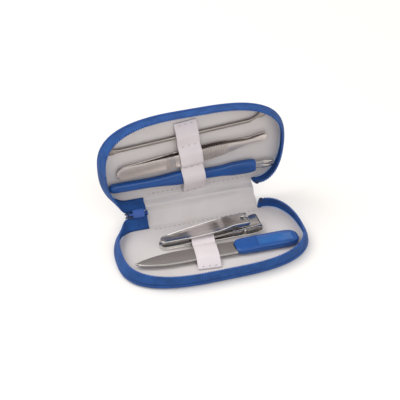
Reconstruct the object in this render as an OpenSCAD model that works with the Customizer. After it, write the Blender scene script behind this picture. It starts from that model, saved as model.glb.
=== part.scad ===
// Manicure set in a zip-round case, standing open with its lid upright.
// Origin: centre of the base's underside. +X runs along the spine, +Y towards it, +Z up.
// The lid is modelled as the base's mirror image and is then folded up about the spine.

/* [Case] */
// Length of the case along its spine
case_len = 114; // [110:1:126]
// Depth of each half, from its front to the spine
case_depth = 59; // [58:0.5:66]
// Height of each half, from its underside to its rim
half_h = 9.7; // [9.7:0.1:12]
// How far the lid stands open, counted from shut
open_angle = 90; // [75:5:120]
// How far the outline stays straight past the spine strip's right end
back_run = 2; // [2:0.1:4]
// Straight part of the outline along the front
front_flat = 14; // [0:1:40]
// Squareness of the back corners, 2 is an ellipse
back_power = 2.2; // [2:0.05:2.6]
// Squareness of the front corners, 2 is an ellipse
front_power = 2.6; // [2:0.05:3]
// How far the rim leans in at the ends and the back
lean_in = 2.5; // [0:0.1:3.5]
// How far the rim leans out at the front
lean_out = 0.5; // [0:0.1:1]

/* [Layers] */
// Thickness of the outer cover
cover_t = 0.6; // [0.5:0.05:0.8]
// Thickness of the stiffening board
board_t = 0.5; // [0.3:0.05:0.8]
// Thickness of the padded lining
lining_t = 0.7; // [0.5:0.05:1]
// Height of the cover's turned-up edge
cover_edge_h = 2.8; // [2.4:0.1:3.4]
// Thickness of the zip tape that forms the wall
tape_t = 0.9; // [0.6:0.05:1.2]
// Length of the spine strip along the fold
spine_len = 67.6; // [60:0.4:70]
// How far the strip's middle lies to the right of the case's
spine_shift = 3.5; // [0:0.1:4]
// Thickness of the spine strip
spine_t = 1.6; // [1:0.1:1.8]

/* [Zip] */
// Spacing of the zip's teeth
tooth_pitch = 2; // [1.6:0.1:3]
// Height of a tooth above the tape
tooth_h = 0.5; // [0.3:0.05:0.6]
// Length of zip that stays closed beside the spine
chain_len = 10; // [9:0.2:11.4]
// Width of the closed chain
chain_w = 2.6; // [2:0.1:3]
// Thickness of the closed chain
chain_t = 1.3; // [1:0.05:1.4]
// Length of the slider
slider_len = 5; // [4.6:0.1:5.6]
// Length of the pull tab
pull_len = 9; // [7:0.2:9.4]
// Width of the pull tab
pull_w = 5.2; // [4:0.1:5.4]

/* [Straps and stitches] */
// Width of both elastic straps
strap_w = 13.6; // [10:0.2:15]
// Thickness of both straps
strap_t = 0.8; // [0.5:0.05:0.9]
// Slant of both straps across the case
strap_turn = 6; // [0:0.5:8]
// Room between a strap and what it holds
strap_room = 0.4; // [0.3:0.05:0.5]
// Length of one stitch
stitch_len = 1.7; // [1.2:0.1:2]
// Thickness of the thread
thread_t = 0.35; // [0.2:0.05:0.5]

/* [Nail clipper] */
// Overall length of the clipper
clipper_len = 62; // [60:0.5:64]
// Width of the jaws at their cutting end
jaw_w = 11; // [9.5:0.1:12]
// Width of the jaws at the tail
tail_w = 8; // [7:0.1:9]
// Thickness of the jaw plates
jaw_t = 1.2; // [1:0.05:1.3]
// Radius of the pin through both jaws
pin_r = 1.5; // [1.2:0.05:1.8]
// Running clearance round the pins
pin_gap = 0.05; // [0.02:0.01:0.09]
// Width of the lever at its thumb end
lever_tip_w = 6.4; // [5:0.1:7]
// Width of the lever at the pin
lever_w = 9.6; // [9:0.1:10.4]
// Width of the lever where it is widest
lever_mid_w = 10.8; // [10:0.1:11.4]
// Thickness of the lever plate
lever_t = 1.1; // [0.9:0.05:1.2]

/* [Nail file] */
// Overall length of the nail file
file_len = 97; // [92:0.5:98]
// Width of the file's blade
blade_w = 11; // [9:0.1:11.5]
// Thickness of the file's blade
blade_t = 1.2; // [0.8:0.1:1.4]
// Length of the file's handle
file_handle_len = 38; // [34:0.5:42]
// Width of the file's handle
file_handle_w = 12; // [10:0.1:12.4]
// Height of the file's handle
file_handle_h = 5.2; // [4:0.1:5.6]

/* [Tweezers] */
// Overall length of the tweezers
tweezer_len = 92; // [86:0.5:93]
// Width of the tweezer arms
tweezer_w = 8.4; // [7:0.1:8.8]
// Thickness of one arm
arm_t = 0.9; // [0.7:0.05:1]
// Height of the tweezers where the arms bow apart
bow_h = 5; // [4:0.1:5.2]
// Opening between the tips
tip_gap = 1.3; // [1:0.1:1.6]

/* [Cuticle trimmer and pusher] */
// How much shorter than the case the trimmer's handle is
trimmer_short = 24.5; // [23:0.5:28]
// Greatest width of the trimmer's handle
trimmer_w = 9; // [7.5:0.1:9.4]
// Greatest height of the trimmer's handle
trimmer_h = 5.4; // [4.5:0.1:5.6]
// Length of the trimmer's fork
fork_len = 11.6; // [11:0.2:13]
// Thickness of the trimmer's fork
fork_t = 1.4; // [1:0.1:1.6]
// Diameter of the pusher's rod
rod_d = 2.4; // [2:0.1:2.6]
// How much shorter than the case the pusher's straight rod is
rod_short = 31.5; // [30:0.5:36]
// Length of the pusher's bent end
rod_bend_len = 6; // [4:0.5:7]
// Diameter of the pusher's spoon
spoon_d = 4.6; // [4:0.1:5]

/* [Hidden] */

round_fn = 48;              // facets of round things in the preview
fit_gap = 0.1;              // seat of a tool on the lining
slip = 0.3;                 // room between pieces that move past each other
arc_step = 7.5;             // degrees between points round a corner
back_y = case_depth / 2;
half_len = case_len / 2;
spine_right = spine_shift + spine_len / 2;    // the strip's ends
spine_left = spine_shift - spine_len / 2;
back_flat = spine_right + slip + back_run;    // where the outline starts to curve, from the middle
floor_z = cover_t + board_t + lining_t;
hinge_z = spine_t * 0.75;
rim_z = half_h - 0.2;                         // top of the teeth, clear of the other half's
tape_top_z = rim_z - tooth_h;
spine_w = 2 * (half_h - hinge_z);             // distance between the two folds
lid_angle = 180 - open_angle;
spine_angle = lid_angle / 2;
panel_back_y = back_y - spine_t / 2 - slip;   // panels stop short of the fold

// ---- outline of the case ----
function side_points(inset, start) =
    let (a = half_len - inset[0], f = back_y - inset[1], b = back_y - inset[2])
    concat(
        [[start, b]],
        [for (t = [90 : -arc_step : 0])
            [back_flat + (a - back_flat) * pow(cos(t), 2 / back_power),
             b * pow(sin(t), 2 / back_power)]],
        [for (t = [arc_step : arc_step : 90])
            [front_flat / 2 + (a - front_flat / 2) * pow(cos(t), 2 / front_power),
             -f * pow(sin(t), 2 / front_power)]]);
function outline(inset) =
    let (right = side_points(inset, spine_right + slip), left = side_points(inset, slip - spine_left))
    concat(right, [for (i = [len(left) - 1 : -1 : 0]) [-left[i][0], left[i][1]]]);
// inset at the ends, the front and the back, for a plain inset and a share of the rim's lean
function leaning(over, lean) = [over + lean * lean_in, over - lean * lean_out, over + lean * lean_in];
function level(over, lean, z) = [for (p = outline(leaning(over, lean))) [p[0], p[1], z]];
run_len = len(outline([0, 0, 0]));
web_start = run_len - 7;    // the last six steps of the outline are the zip's closed corner

// ---- polyhedron helpers ----
function column(rows, i) = [for (row = rows) row[i]];
function side_faces(count, size) =
    [for (i = [0 : count - 2]) for (j = [0 : size - 1])
        let (k = (j + 1) % size)
        for (face = [[i * size + j, (i + 1) * size + k, i * size + k],
                     [i * size + j, (i + 1) * size + j, (i + 1) * size + k]]) face];
function middle(points) =
    [for (axis = [0 : 2]) column(points, axis) * [for (p = points) 1]] / len(points);
// a skin over equal closed sections, with a flat fan at each end
module skin(sections) {
    size = len(sections[0]);
    last = (len(sections) - 1) * size;
    hub = last + size;
    polyhedron(concat([for (s = sections) for (p = s) p],
                      [middle(sections[0]), middle(sections[len(sections) - 1])]),
               concat(side_faces(len(sections), size),
                      [for (j = [0 : size - 1]) [j, (j + 1) % size, hub]],
                      [for (j = [0 : size - 1]) [last + (j + 1) % size, last + j, hub + 1]]));
}
// a band whose sections go up one face and down the other
module band(sections) {
    size = len(sections[0]);
    last = (len(sections) - 1) * size;
    polyhedron([for (s = sections) for (p = s) p],
               concat(side_faces(len(sections), size),
                      [for (j = [0 : size / 2 - 2]) [j, j + 1, size - 2 - j]],
                      [for (j = [0 : size / 2 - 2]) [j, size - 2 - j, size - 1 - j]],
                      [for (j = [0 : size / 2 - 2]) [last + j + 1, last + j, last + size - 2 - j]],
                      [for (j = [0 : size / 2 - 2]) [last + j, last + size - 1 - j, last + size - 2 - j]]));
}

// ---- placing ----
module at_spine() {         // Y runs up the strip from the lower fold, Z to its inner side
    translate([0, back_y, hinge_z]) rotate([spine_angle, 0, 0]) children();
}
module at_lid() {           // the base's mirror image, folded up
    at_spine() translate([0, spine_w, 0]) rotate([lid_angle - spine_angle, 0, 0])
        translate([0, back_y, -hinge_z]) mirror([0, 1, 0]) children();
}

// ---- the two halves ----
module half_cover() {
    rows = [level(1.5, 0, cover_t), level(0.7, 0, cover_edge_h - 0.9), level(0.6, 0, cover_edge_h),
            level(0.15, 0, cover_edge_h), level(0, 0, cover_edge_h - 0.5), level(0.35, 0, 1.1),
            level(1.1, 0, 0.3), level(2.2, 0, 0)];
    notch = spine_len + slip;
    color("#2c55a6") difference() {
        skin(rows);
        translate([spine_shift - notch / 2, panel_back_y, -1]) cube([notch, case_depth, half_h]);
        translate([spine_shift - notch / 2, back_y - 1.7, cover_t]) cube([notch, case_depth, half_h]);
    }
}
module panel(inset, z, thick) {                // its back edge steps out to the fold
    edge = outline(leaning(inset, 0));
    tongue = [[spine_left, back_y - inset], [spine_left, panel_back_y],
              [spine_right, panel_back_y], [spine_right, back_y - inset]];
    translate([0, 0, z]) linear_extrude(thick) polygon(concat(edge, tongue));
}
module half_board() color("#b79b6c") panel(1.9, cover_t, board_t);
module half_lining() color("#d3cfce") panel(1.9, cover_t + board_t, lining_t);

foot_in = 0.75;             // the tape stands this far inside the cover's edge
tape_rows = [level(foot_in + 0.2, 0, cover_edge_h - 0.9), level(foot_in, 0, cover_edge_h + 0.05),
             level(0.12, 0, cover_edge_h + 0.7), level(0.1, 0.35, half_h * 0.6), level(0.1, 1, tape_top_z),
             level(0.1 + tape_t, 1, tape_top_z), level(0.1 + tape_t, 0.35, half_h * 0.6),
             level(0.12 + tape_t, 0, cover_edge_h + 0.7), level(foot_in + tape_t, 0, cover_edge_h + 0.05),
             level(foot_in + tape_t, 0, cover_edge_h - 0.9)];
module half_tape() {
    color("#2a55a8") band([for (i = [0 : web_start]) column(tape_rows, i)]);
}

// The closed corner of the zip: the wall's top edge leaves the rim and goes to the chain.
chain_m = lean_in + 0.5;    // the chain's middle, off the spine strip
function spine_point(x, s, m) =                            // s along the strip from its middle, m inwards
    [x, back_y + (spine_w / 2 + s) * cos(spine_angle) - m * sin(spine_angle),
        hinge_z + (spine_w / 2 + s) * sin(spine_angle) + m * cos(spine_angle)];
function ease(u) = let (v = min(1, max(0, u))) v * v * (3 - 2 * v);
rise_share = [0, 0, 0.3, 0.62, 1];                         // how much of the way up each row is
slider_gap = 0.12;          // running room between the chain and the slider's plates
slider_plate = 0.7;
slider_half_h = chain_t / 2 + slider_gap + slider_plate;
function gusset_point(row, i) =
    let (up = row < 5 ? row : 9 - row,
         m = chain_m + (row < 5 ? -tape_t / 2 : tape_t / 2),
         top = spine_point(tape_rows[row][i][0], -slider_half_h - slip / 2, m),
         share = rise_share[up] * ease((i - web_start) / 4))
    tape_rows[row][i] * (1 - share) + top * share;
module half_gusset() {
    color("#244c9c") band([for (i = [web_start : run_len - 1])
        [for (row = [0 : len(tape_rows) - 1]) gusset_point(row, i)]]);
}

// Teeth stand on the tape's rim at an even pitch along it.
rim_run = [for (i = [0 : web_start]) outline(leaning(0.1 + tape_t / 2, 1))[i]];
rim_dist = [for (i = 0, d = 0; i < len(rim_run);
                 d = d + (i + 1 < len(rim_run) ? norm(rim_run[i + 1] - rim_run[i]) : 0), i = i + 1) d];
rim_x = [for (i = [0 : len(rim_run) - 1]) [rim_dist[i], rim_run[i][0]]];
rim_y = [for (i = [0 : len(rim_run) - 1]) [rim_dist[i], rim_run[i][1]]];
rim_total = rim_dist[len(rim_run) - 1];
stop_len = 1.6;
module on_rim(d) {
    here = [lookup(d, rim_x), lookup(d, rim_y)];
    next = [lookup(d + 0.2, rim_x), lookup(d + 0.2, rim_y)];
    ahead = next - here;
    translate([here[0], here[1], tape_top_z]) rotate([0, 0, atan2(ahead[1], ahead[0])]) children();
}
module half_teeth() {
    first = stop_len + 1;
    color("#274f9f") for (d = [first : tooth_pitch : rim_total - tooth_pitch])
        on_rim(d) translate([-tooth_pitch / 4, -tape_t / 2, 0]) cube([tooth_pitch / 2, tape_t, tooth_h]);
}
rim_lean = atan2(0.65 * lean_in, tape_top_z - half_h * 0.6);   // the tape's lean under its rim
module half_zip_stop() {    // a folded plate pinched over the tape
    grip = 1.6;
    wall = 0.35;
    slot = tape_t * cos(rim_lean) + fit_gap;
    color("#9aa3b5") on_rim(0.3) difference() {
        intersection() {
            rotate([rim_lean, 0, 0]) translate([0, -slot / 2 - wall, -grip])
                cube([stop_len, slot + 2 * wall, 4]);
            translate([-1, -4, -4]) cube([stop_len + 2, 8, 4 + tooth_h]);
        }
        intersection() {
            rotate([rim_lean, 0, 0]) translate([-1, -slot / 2, -grip - 1]) cube([stop_len + 2, slot, 5]);
            translate([-1, -4, -4]) cube([stop_len + 2, 8, 4 + fit_gap / 2]);
        }
    }
}

// ---- spine strip ----
module spine_half(side) {   // side 1 is the lining, -1 the cover
    translate([spine_left, 0, 0]) rotate([90, 0, 90]) linear_extrude(spine_len) intersection() {
        union() {
            translate([0, -spine_t / 2]) square([spine_w, spine_t]);
            circle(d = spine_t, $fn = round_fn);
            translate([spine_w, 0]) circle(d = spine_t, $fn = round_fn);
        }
        translate([-spine_t, side > 0 ? 0 : -spine_t]) square([spine_w + 2 * spine_t, spine_t]);
    }
}
module spine_cover() color("#2c55a6") at_spine() spine_half(-1);
module spine_lining() color("#cfc8c8") at_spine() spine_half(1);

// ---- zip chain, slider and pull ----
chain_x = spine_left - slip - 0.1;            // the chain starts at the strip's left end
module at_chain() at_spine() translate([chain_x, spine_w / 2, chain_m]) children();
module zip_chain() {
    link = chain_len / 6;
    color("#264c9a") at_chain() {
        translate([-chain_len, -chain_t / 2, -chain_w / 2]) cube([chain_len, chain_t, chain_w * 0.6]);
        for (i = [0 : 5])
            translate([-(i + 0.8) * link, -chain_t / 2, chain_w * 0.1])
                cube([link * 0.6, chain_t, chain_w * 0.4]);
    }
}
module zip_slider() {
    reach = 2.2;                              // how far the plates cover the chain
    width = chain_w + 1.4;
    color("#5d6a80") at_chain() translate([-chain_len, 0, 0]) {
        difference() {                        // two plates and the wall that joins them inside
            translate([reach - slider_len, -slider_half_h, -width / 2])
                cube([slider_len, 2 * slider_half_h, width]);
            translate([reach - slider_len - 1, slider_plate - slider_half_h, -width])
                cube([slider_len + 2, 2 * (slider_half_h - slider_plate),
                      width + chain_w / 2 + slider_gap]);
        }
        difference() {                        // the ears that hold the pull
            translate([-1.6, -slider_half_h + 0.1, width / 2 - 0.2])
                cube([2.2, 2 * slider_half_h - 0.2, 2.4]);
            translate([-2, -chain_t / 2 - 0.05, -width / 2]) cube([3, chain_t + 0.1, width + 3]);
            translate([-0.5, 0, width / 2 + 1.3]) rotate([90, 0, 0])
                cylinder(r = 0.45, h = 4, center = true, $fn = round_fn);
        }
    }
}
module zip_pull() {
    width = chain_w + 1.4;
    color("#2f62b4") at_chain() translate([-chain_len - 0.5, 0, width / 2 + 1.3]) {
        rotate([90, 0, 0]) cylinder(r = 0.4, h = 3, center = true, $fn = round_fn);
        translate([-0.4, -0.55, -0.4]) cube([2.4, 1.1, 0.8]);
        translate([2, -pull_w / 2, -0.6]) cube([pull_len - 2 - pull_w / 2, pull_w, 1.2]);
        translate([pull_len - pull_w / 2, 0, -0.6]) cylinder(d = pull_w, h = 1.2, $fn = round_fn);
    }
}

// ---- where the tools lie: x, y, turn about Z ----
seat_z = floor_z + fit_gap;
trimmer_len = case_len - trimmer_short;
rod_len = case_len - rod_short;
clipper_at = [1.4, case_depth * 0.146, 0.5];
file_at = [1.2, -case_depth * 0.117, -1.5];
trimmer_at = [-6.3, back_y - case_depth * 0.232, 0.9];
tweezer_at = [-0.4, back_y - case_depth * 0.475, -5.8];
pusher_at = [-5.8, back_y - case_depth * 0.715, -3.8];
module place(spot) translate([spot[0], spot[1], seat_z]) rotate([0, 0, spot[2]]) children();
function across(spot, x) = spot[1] + (x - spot[0]) * tan(spot[2]);   // a tool's Y at a given X

// ---- straps: each loop is a smooth rise over one tool ----
// a hold is [centre Y, half width, height]
strap_run = 2.2;            // length of the strap's slope beside a tool
strap_steps = 90;
function hold_rise(y, hold, grow) =
    (hold[2] + grow) * ease((hold[1] + grow + strap_run - abs(y - hold[0])) / strap_run);
function strap_z(y, holds, grow) = max([for (hold = holds) hold_rise(y, hold, grow)]);
module strap(holds, low, high) {
    ys = [for (i = [0 : strap_steps]) low + (high - low) * i / strap_steps];
    rotate([90, 0, 90]) linear_extrude(strap_w, center = true)
        polygon(concat([for (y = ys) [y, strap_z(y, holds, 0)]],
                       [for (i = [strap_steps : -1 : 0])
                           [ys[i], max(strap_t, strap_z(ys[i], holds, strap_t))]]));
}
base_strap_x = -4.9;
lid_strap_x = -1.5;
lid_strap_mid = back_y - case_depth * 0.45;
jaw_top = 4.1;              // top of the upper jaw where the strap crosses it
base_holds = [[across(file_at, base_strap_x), blade_w / 2 + 1, file_handle_h / 2 + blade_t / 2 + strap_room],
              [across(clipper_at, base_strap_x), (jaw_w + tail_w) / 4 + 2, jaw_top + fit_gap + strap_room]];
base_strap_low = -case_depth * 0.315;
base_strap_high = case_depth * 0.365;
lid_holds = [[across(trimmer_at, lid_strap_x), trimmer_w / 2 + 1, trimmer_h + fit_gap + strap_room],
             [across(tweezer_at, lid_strap_x), tweezer_w / 2 + 1.4, bow_h + fit_gap + strap_room],
             [across(pusher_at, lid_strap_x), rod_d / 2 + 1.2, rod_d + fit_gap + strap_room]];
lid_strap_low = back_y - case_depth * 0.875;
lid_strap_high = back_y - case_depth * 0.027;
module on_base_strap() translate([base_strap_x, 0, floor_z]) rotate([0, 0, -strap_turn]) children();
module on_lid_strap() {
    translate([lid_strap_x, lid_strap_mid, floor_z]) rotate([0, 0, -strap_turn])
        translate([0, -lid_strap_mid, 0]) children();
}
module base_strap() color("#dbd3d7") on_base_strap() strap(base_holds, base_strap_low, base_strap_high);
module lid_strap() color("#dbd3d7") at_lid() on_lid_strap() strap(lid_holds, lid_strap_low, lid_strap_high);

// ---- stitches: rows of short threads lying on the cloth ----
module stitch_row(count, gap, x, y, z) {
    for (i = [0 : count - 1])
        translate([x + (i - (count - 1) / 2) * gap - stitch_len / 2, y - thread_t / 2, z])
            cube([stitch_len, thread_t, thread_t / 2]);
}
fold_stitch_in = 2.2;       // the flap's seam lies this far from the panel's edge
module fold_stitches() {
    stitch_row(floor(spine_len / 3.4), 3.4, spine_shift, panel_back_y - fold_stitch_in, floor_z);
}
module strap_stitches(rows) for (y = rows) stitch_row(3, 3.4, 0, y, strap_t);
base_stitch_rows = [base_strap_low + 1.1, base_strap_high - 1.1];
lid_stitch_rows = [lid_strap_low + 1.6, lid_strap_high - 0.8];
module base_stitches() {
    color("#b9b0b0") {
        difference() {
            fold_stitches();
            on_base_strap() translate([-strap_w / 2 - slip, 0, -1]) cube([strap_w + 2 * slip, case_depth, 4]);
        }
        on_base_strap() strap_stitches(base_stitch_rows);
    }
}
module lid_stitches() {
    color("#b9b0b0") at_lid() {
        difference() {
            fold_stitches();
            on_lid_strap() translate([-strap_w / 2 - slip, 0, -1]) cube([strap_w + 2 * slip, case_depth, 4]);
        }
        on_lid_strap() strap_stitches(lid_stitch_rows);
    }
}

// ---- nail clipper: x from the tail to the cutting edge, z up from the lower jaw ----
tail_x = -clipper_len / 2;
edge_x = clipper_len / 2;
pin_x = edge_x - 9.5;
bar_r = 0.9;                // the pin's cross bar, the lever's axle
bar_z = 8.1;
module jaw_plan() {
    neck = edge_x - 12;
    polygon([[neck, -jaw_w / 2 + 0.6], [edge_x - 3, -jaw_w / 2], [edge_x, -jaw_w / 2 + 0.2],
             [edge_x - 0.5, 0], [edge_x, jaw_w / 2 - 0.2], [edge_x - 3, jaw_w / 2], [neck, jaw_w / 2 - 0.6],
             [tail_x + 4, tail_w / 2], [tail_x + 4, -tail_w / 2]]);
    translate([tail_x + 4, 0]) circle(d = tail_w, $fn = round_fn);
}
module jaw(profile) {
    intersection() {
        rotate([90, 0, 0]) linear_extrude(jaw_w + 2, center = true) polygon(profile);
        translate([0, 0, -1]) linear_extrude(12) jaw_plan();
    }
}
lower_profile = [[tail_x - 1, 0], [edge_x - 7, 0], [edge_x - 3, 0.5], [edge_x - 0.6, 1.7], [edge_x, 2.9],
                 [edge_x - 0.4, 3], [edge_x - 2, jaw_t + 1.1], [edge_x - 4.4, jaw_t + 0.3],
                 [edge_x - 7, jaw_t], [tail_x - 1, jaw_t]];
jaw_bow = 5;                // rise of the upper jaw off the lower one
function upper_z(x) =       // underside of the upper jaw, which rises from the tail to the mouth
    jaw_t + 0.02 + jaw_bow * pow(max(0, (x - tail_x - 8) / (clipper_len - 8)), 1.5);
upper_xs = [for (i = [0 : 12]) tail_x + 8 + (clipper_len - 11.5) * i / 12];
upper_profile = concat(
    [[tail_x - 1, jaw_t + 0.02]], [for (x = upper_xs) [x, upper_z(x)]],
    [[edge_x - 1.8, upper_z(edge_x) - 1], [edge_x - 0.5, upper_z(edge_x) - 2.2],
     [edge_x, upper_z(edge_x) - 2.1], [edge_x - 0.2, upper_z(edge_x) - 0.8],
     [edge_x - 1.2, upper_z(edge_x) + 0.5], [edge_x - 2.2, upper_z(edge_x) + 0.9]],
    [for (i = [12 : -1 : 0]) [upper_xs[i], upper_z(upper_xs[i]) + jaw_t]],
    [[tail_x - 1, 2 * jaw_t + 0.02]]);
rivet_x = tail_x + 5;
rivet_r = 1.4;
module clipper_lower_jaw() {
    color("#c9c7c3") place(clipper_at) difference() {
        jaw(lower_profile);
        translate([pin_x, 0, -1]) cylinder(r = pin_r + pin_gap, h = 6, $fn = round_fn);
        translate([pin_x, 0, -1]) cylinder(r = pin_r + 1.1, h = 1.55, $fn = round_fn);
        translate([rivet_x, 0, -1]) cylinder(r = rivet_r, h = 6, $fn = round_fn);
    }
}
module clipper_upper_jaw() {
    color("#c9c7c3") place(clipper_at) difference() {
        jaw(upper_profile);
        translate([pin_x, 0, -1]) cylinder(r = pin_r + 0.4, h = 9, $fn = round_fn);
        translate([rivet_x, 0, -1]) cylinder(r = rivet_r + 0.3, h = 9, $fn = round_fn);
    }
}
module clipper_rivet() {
    color("#aaa8a4") place(clipper_at) translate([rivet_x, 0, 0])
        cylinder(r = rivet_r, h = 2 * jaw_t + 0.02, $fn = round_fn);
}
module clipper_pin() {
    color("#b5b3af") place(clipper_at) translate([pin_x, 0, 0]) {
        cylinder(r = pin_r + 1, h = 0.5, $fn = round_fn);
        cylinder(r = pin_r, h = bar_z, $fn = round_fn);
        translate([0, 0, bar_z]) rotate([90, 0, 0])
            cylinder(r = bar_r, h = lever_w - 0.4, center = true, $fn = round_fn);
    }
}
lever_nose = 2.1;           // lever beyond its axle
lever_under = [[tail_x + 0.8, 4.4], [tail_x + 19, 5.8], [4, 7.3], [pin_x - 6, 8.2]];
module lever_plan() {
    tip_r = lever_tip_w / 2;
    tip_x = tail_x + 0.8 + tip_r;
    side = concat([for (a = [7.5 : 15 : 82.5]) [tip_x - tip_r * cos(a), tip_r * sin(a)]],
                  [[tip_x + 8, lever_mid_w / 2 - 1.3], [tip_x + 17, lever_mid_w / 2 - 0.4],
                   [2, lever_mid_w / 2], [8, lever_mid_w / 2 - 0.1], [pin_x - 6, lever_w / 2],
                   [pin_x + lever_nose, lever_w / 2]]);
    polygon(concat(side, [for (i = [len(side) - 1 : -1 : 0]) [side[i][0], -side[i][1]]]));
}
module clipper_lever() {
    cheek = 1.1;
    top_z = bar_z + bar_r + 1;
    profile = concat(lever_under, [[pin_x - 4, bar_z - bar_r - 0.4], [pin_x + 0.6, bar_z - bar_r - 0.35],
                                   [pin_x + lever_nose, bar_z], [pin_x + lever_nose - 0.4, top_z - 0.6],
                                   [pin_x, top_z], [pin_x - 8, top_z]],
                     [for (i = [2 : -1 : 0]) lever_under[i] + [0, lever_t]]);
    color("#d5d3cf") place(clipper_at) difference() {
        intersection() {
            rotate([90, 0, 0]) linear_extrude(lever_w + 2, center = true) polygon(profile);
            translate([0, 0, 2]) linear_extrude(9) lever_plan();
        }
        translate([pin_x - 7, -lever_w / 2 + cheek, 3])       // the channel round the pin
            cube([7 + lever_nose + 1, lever_w - 2 * cheek, bar_z + bar_r + 0.1 - 3]);
        translate([pin_x - 2.8, -1.6, 3]) cube([4.6, 3.2, 9]);  // the slot over the pin
        translate([pin_x, 0, bar_z]) rotate([90, 0, 0])
            cylinder(r = bar_r + pin_gap, h = lever_w + 3, center = true, $fn = round_fn);
    }
}

// ---- nail file: x from its tip to the end of the handle ----
file_tip_x = -file_len / 2;
file_end_x = file_len / 2;
handle_x = file_end_x - file_handle_len;
tang_len = 12;
tang_w = 6;
blade_z = file_handle_h / 2 - blade_t / 2;
module file_blade() {
    color("#8f8a86") place(file_at) translate([0, 0, blade_z]) linear_extrude(blade_t) {
        polygon([[file_tip_x, 0.3], [file_tip_x + 2, -1.6], [file_tip_x + 10, -blade_w * 0.36],
                 [file_tip_x + 22, -blade_w / 2], [handle_x + 0.6, -blade_w / 2],
                 [handle_x + 0.6, blade_w / 2], [file_tip_x + 26, blade_w / 2],
                 [file_tip_x + 12, blade_w * 0.38], [file_tip_x + 2, 1.4]]);
        translate([handle_x, -tang_w / 2]) square([tang_len, tang_w]);
    }
}
// one cross section of a moulded handle, flat underneath and crowned on top
function crown(x, wide, high, y = 0) =
    [for (i = [0 : 15]) let (a = i * 22.5, c = cos(a), s = sin(a))
        [x, y + wide / 2 * sign(c) * pow(abs(c), 0.7), high / 2 + high / 2 * sign(s) * pow(abs(s), 0.75)]];
module file_handle() {
    stations = [[0, 0.55, 0.5], [0.8, 0.72, 0.62], [2.2, 0.88, 0.72], [5, 1, 0.8], [9, 1, 0.84], [11, 1, 1],
                [24, 1, 1], [file_handle_len - 8, 1, 1], [file_handle_len - 4, 0.9, 0.9],
                [file_handle_len - 1.4, 0.7, 0.7], [file_handle_len, 0.4, 0.5]];
    color("#2a5fb4") place(file_at) difference() {
        skin([for (s = stations) let (high = file_handle_h * s[2])
            [for (p = crown(handle_x + s[0], file_handle_w * s[1], high))
                p + [0, 0, (file_handle_h - high) * 0.45]]]);
        translate([handle_x - 1, -tang_w / 2 - fit_gap, blade_z - fit_gap / 2])
            cube([tang_len + 1.2, tang_w + 2 * fit_gap, blade_t + fit_gap]);
        translate([handle_x - 1, -blade_w / 2 - fit_gap, blade_z - fit_gap / 2])
            cube([1.75, blade_w + 2 * fit_gap, blade_t + fit_gap]);
    }
}

// ---- tweezers: x from the joined end to the tips, z up from the seat ----
join_x = -tweezer_len / 2;
tips_x = tweezer_len / 2;
function arm_out(x) =       // how far an arm's outer face lies from the middle plane
    let (u = (x - join_x - 7) / (tweezer_len - 7))
    u < 0 ? arm_t : arm_t + (bow_h / 2 - arm_t) * sin(min(1, u / 0.55) * 90)
                    - (u < 0.55 ? 0 : (bow_h / 2 - arm_t - tip_gap / 2) * ease((u - 0.55) / 0.45));
arm_xs = concat([join_x, join_x + 7], [for (i = [1 : 12]) join_x + 7 + (tweezer_len - 7) * i / 12]);
module arm_plan() {
    polygon([[join_x + tweezer_w / 2, -tweezer_w / 2], [12, -tweezer_w / 2], [tips_x - 9, -1.5],
             [tips_x - 7, -2.2], [tips_x - 0.3, -2.4], [tips_x, -1.8], [tips_x - 1.8, 2.2],
             [tips_x - 7, 1.7], [tips_x - 9, 1.3], [12, tweezer_w / 2],
             [join_x + tweezer_w / 2, tweezer_w / 2]]);
    translate([join_x + tweezer_w / 2, 0]) circle(d = tweezer_w, $fn = round_fn);
}
module arm() {
    intersection() {
        rotate([90, 0, 0]) linear_extrude(tweezer_w + 2, center = true)
            polygon(concat([for (x = arm_xs) [x, arm_out(x) - arm_t + (x <= join_x + 7 ? 0.01 : 0)]],
                           [for (i = [len(arm_xs) - 1 : -1 : 0]) [arm_xs[i], arm_out(arm_xs[i])]]));
        linear_extrude(bow_h) arm_plan();
    }
}
module tweezer_back_arm() {
    color("#b5aca6") at_lid() place(tweezer_at) translate([0, 0, bow_h / 2]) mirror([0, 0, 1]) arm();
}
module tweezer_front_arm() {
    color("#bdb4ae") at_lid() place(tweezer_at) translate([0, 0, bow_h / 2]) arm();
}

// ---- pusher: a rod with a bent end and a small spoon ----
rod_end = rod_len / 2;
rod_bend = 20;              // degrees the end is bent sideways
module pusher() {
    color("#a39b95") at_lid() place(pusher_at) translate([0, 0, rod_d / 2]) {
        translate([-rod_end, 0, 0]) rotate([0, 90, 0]) cylinder(d = rod_d, h = rod_len, $fn = round_fn);
        translate([-rod_end - 3.4, -2, -rod_d * 0.3]) cube([4, 4, rod_d * 0.6]);
        translate([rod_end - rod_d / 4, 0, 0]) rotate([0, 0, -rod_bend]) {
            rotate([0, 90, 0]) cylinder(d = rod_d * 0.8, h = rod_bend_len, $fn = round_fn);
            translate([rod_bend_len + spoon_d / 2 - 0.6, 0, -rod_d * 0.3])
                cylinder(d = spoon_d, h = rod_d * 0.6, $fn = round_fn);
        }
    }
}

// ---- cuticle trimmer: x from the handle's tail to the fork's tips ----
grip_x = -trimmer_len / 2;
grip_end = trimmer_len / 2;
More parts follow.
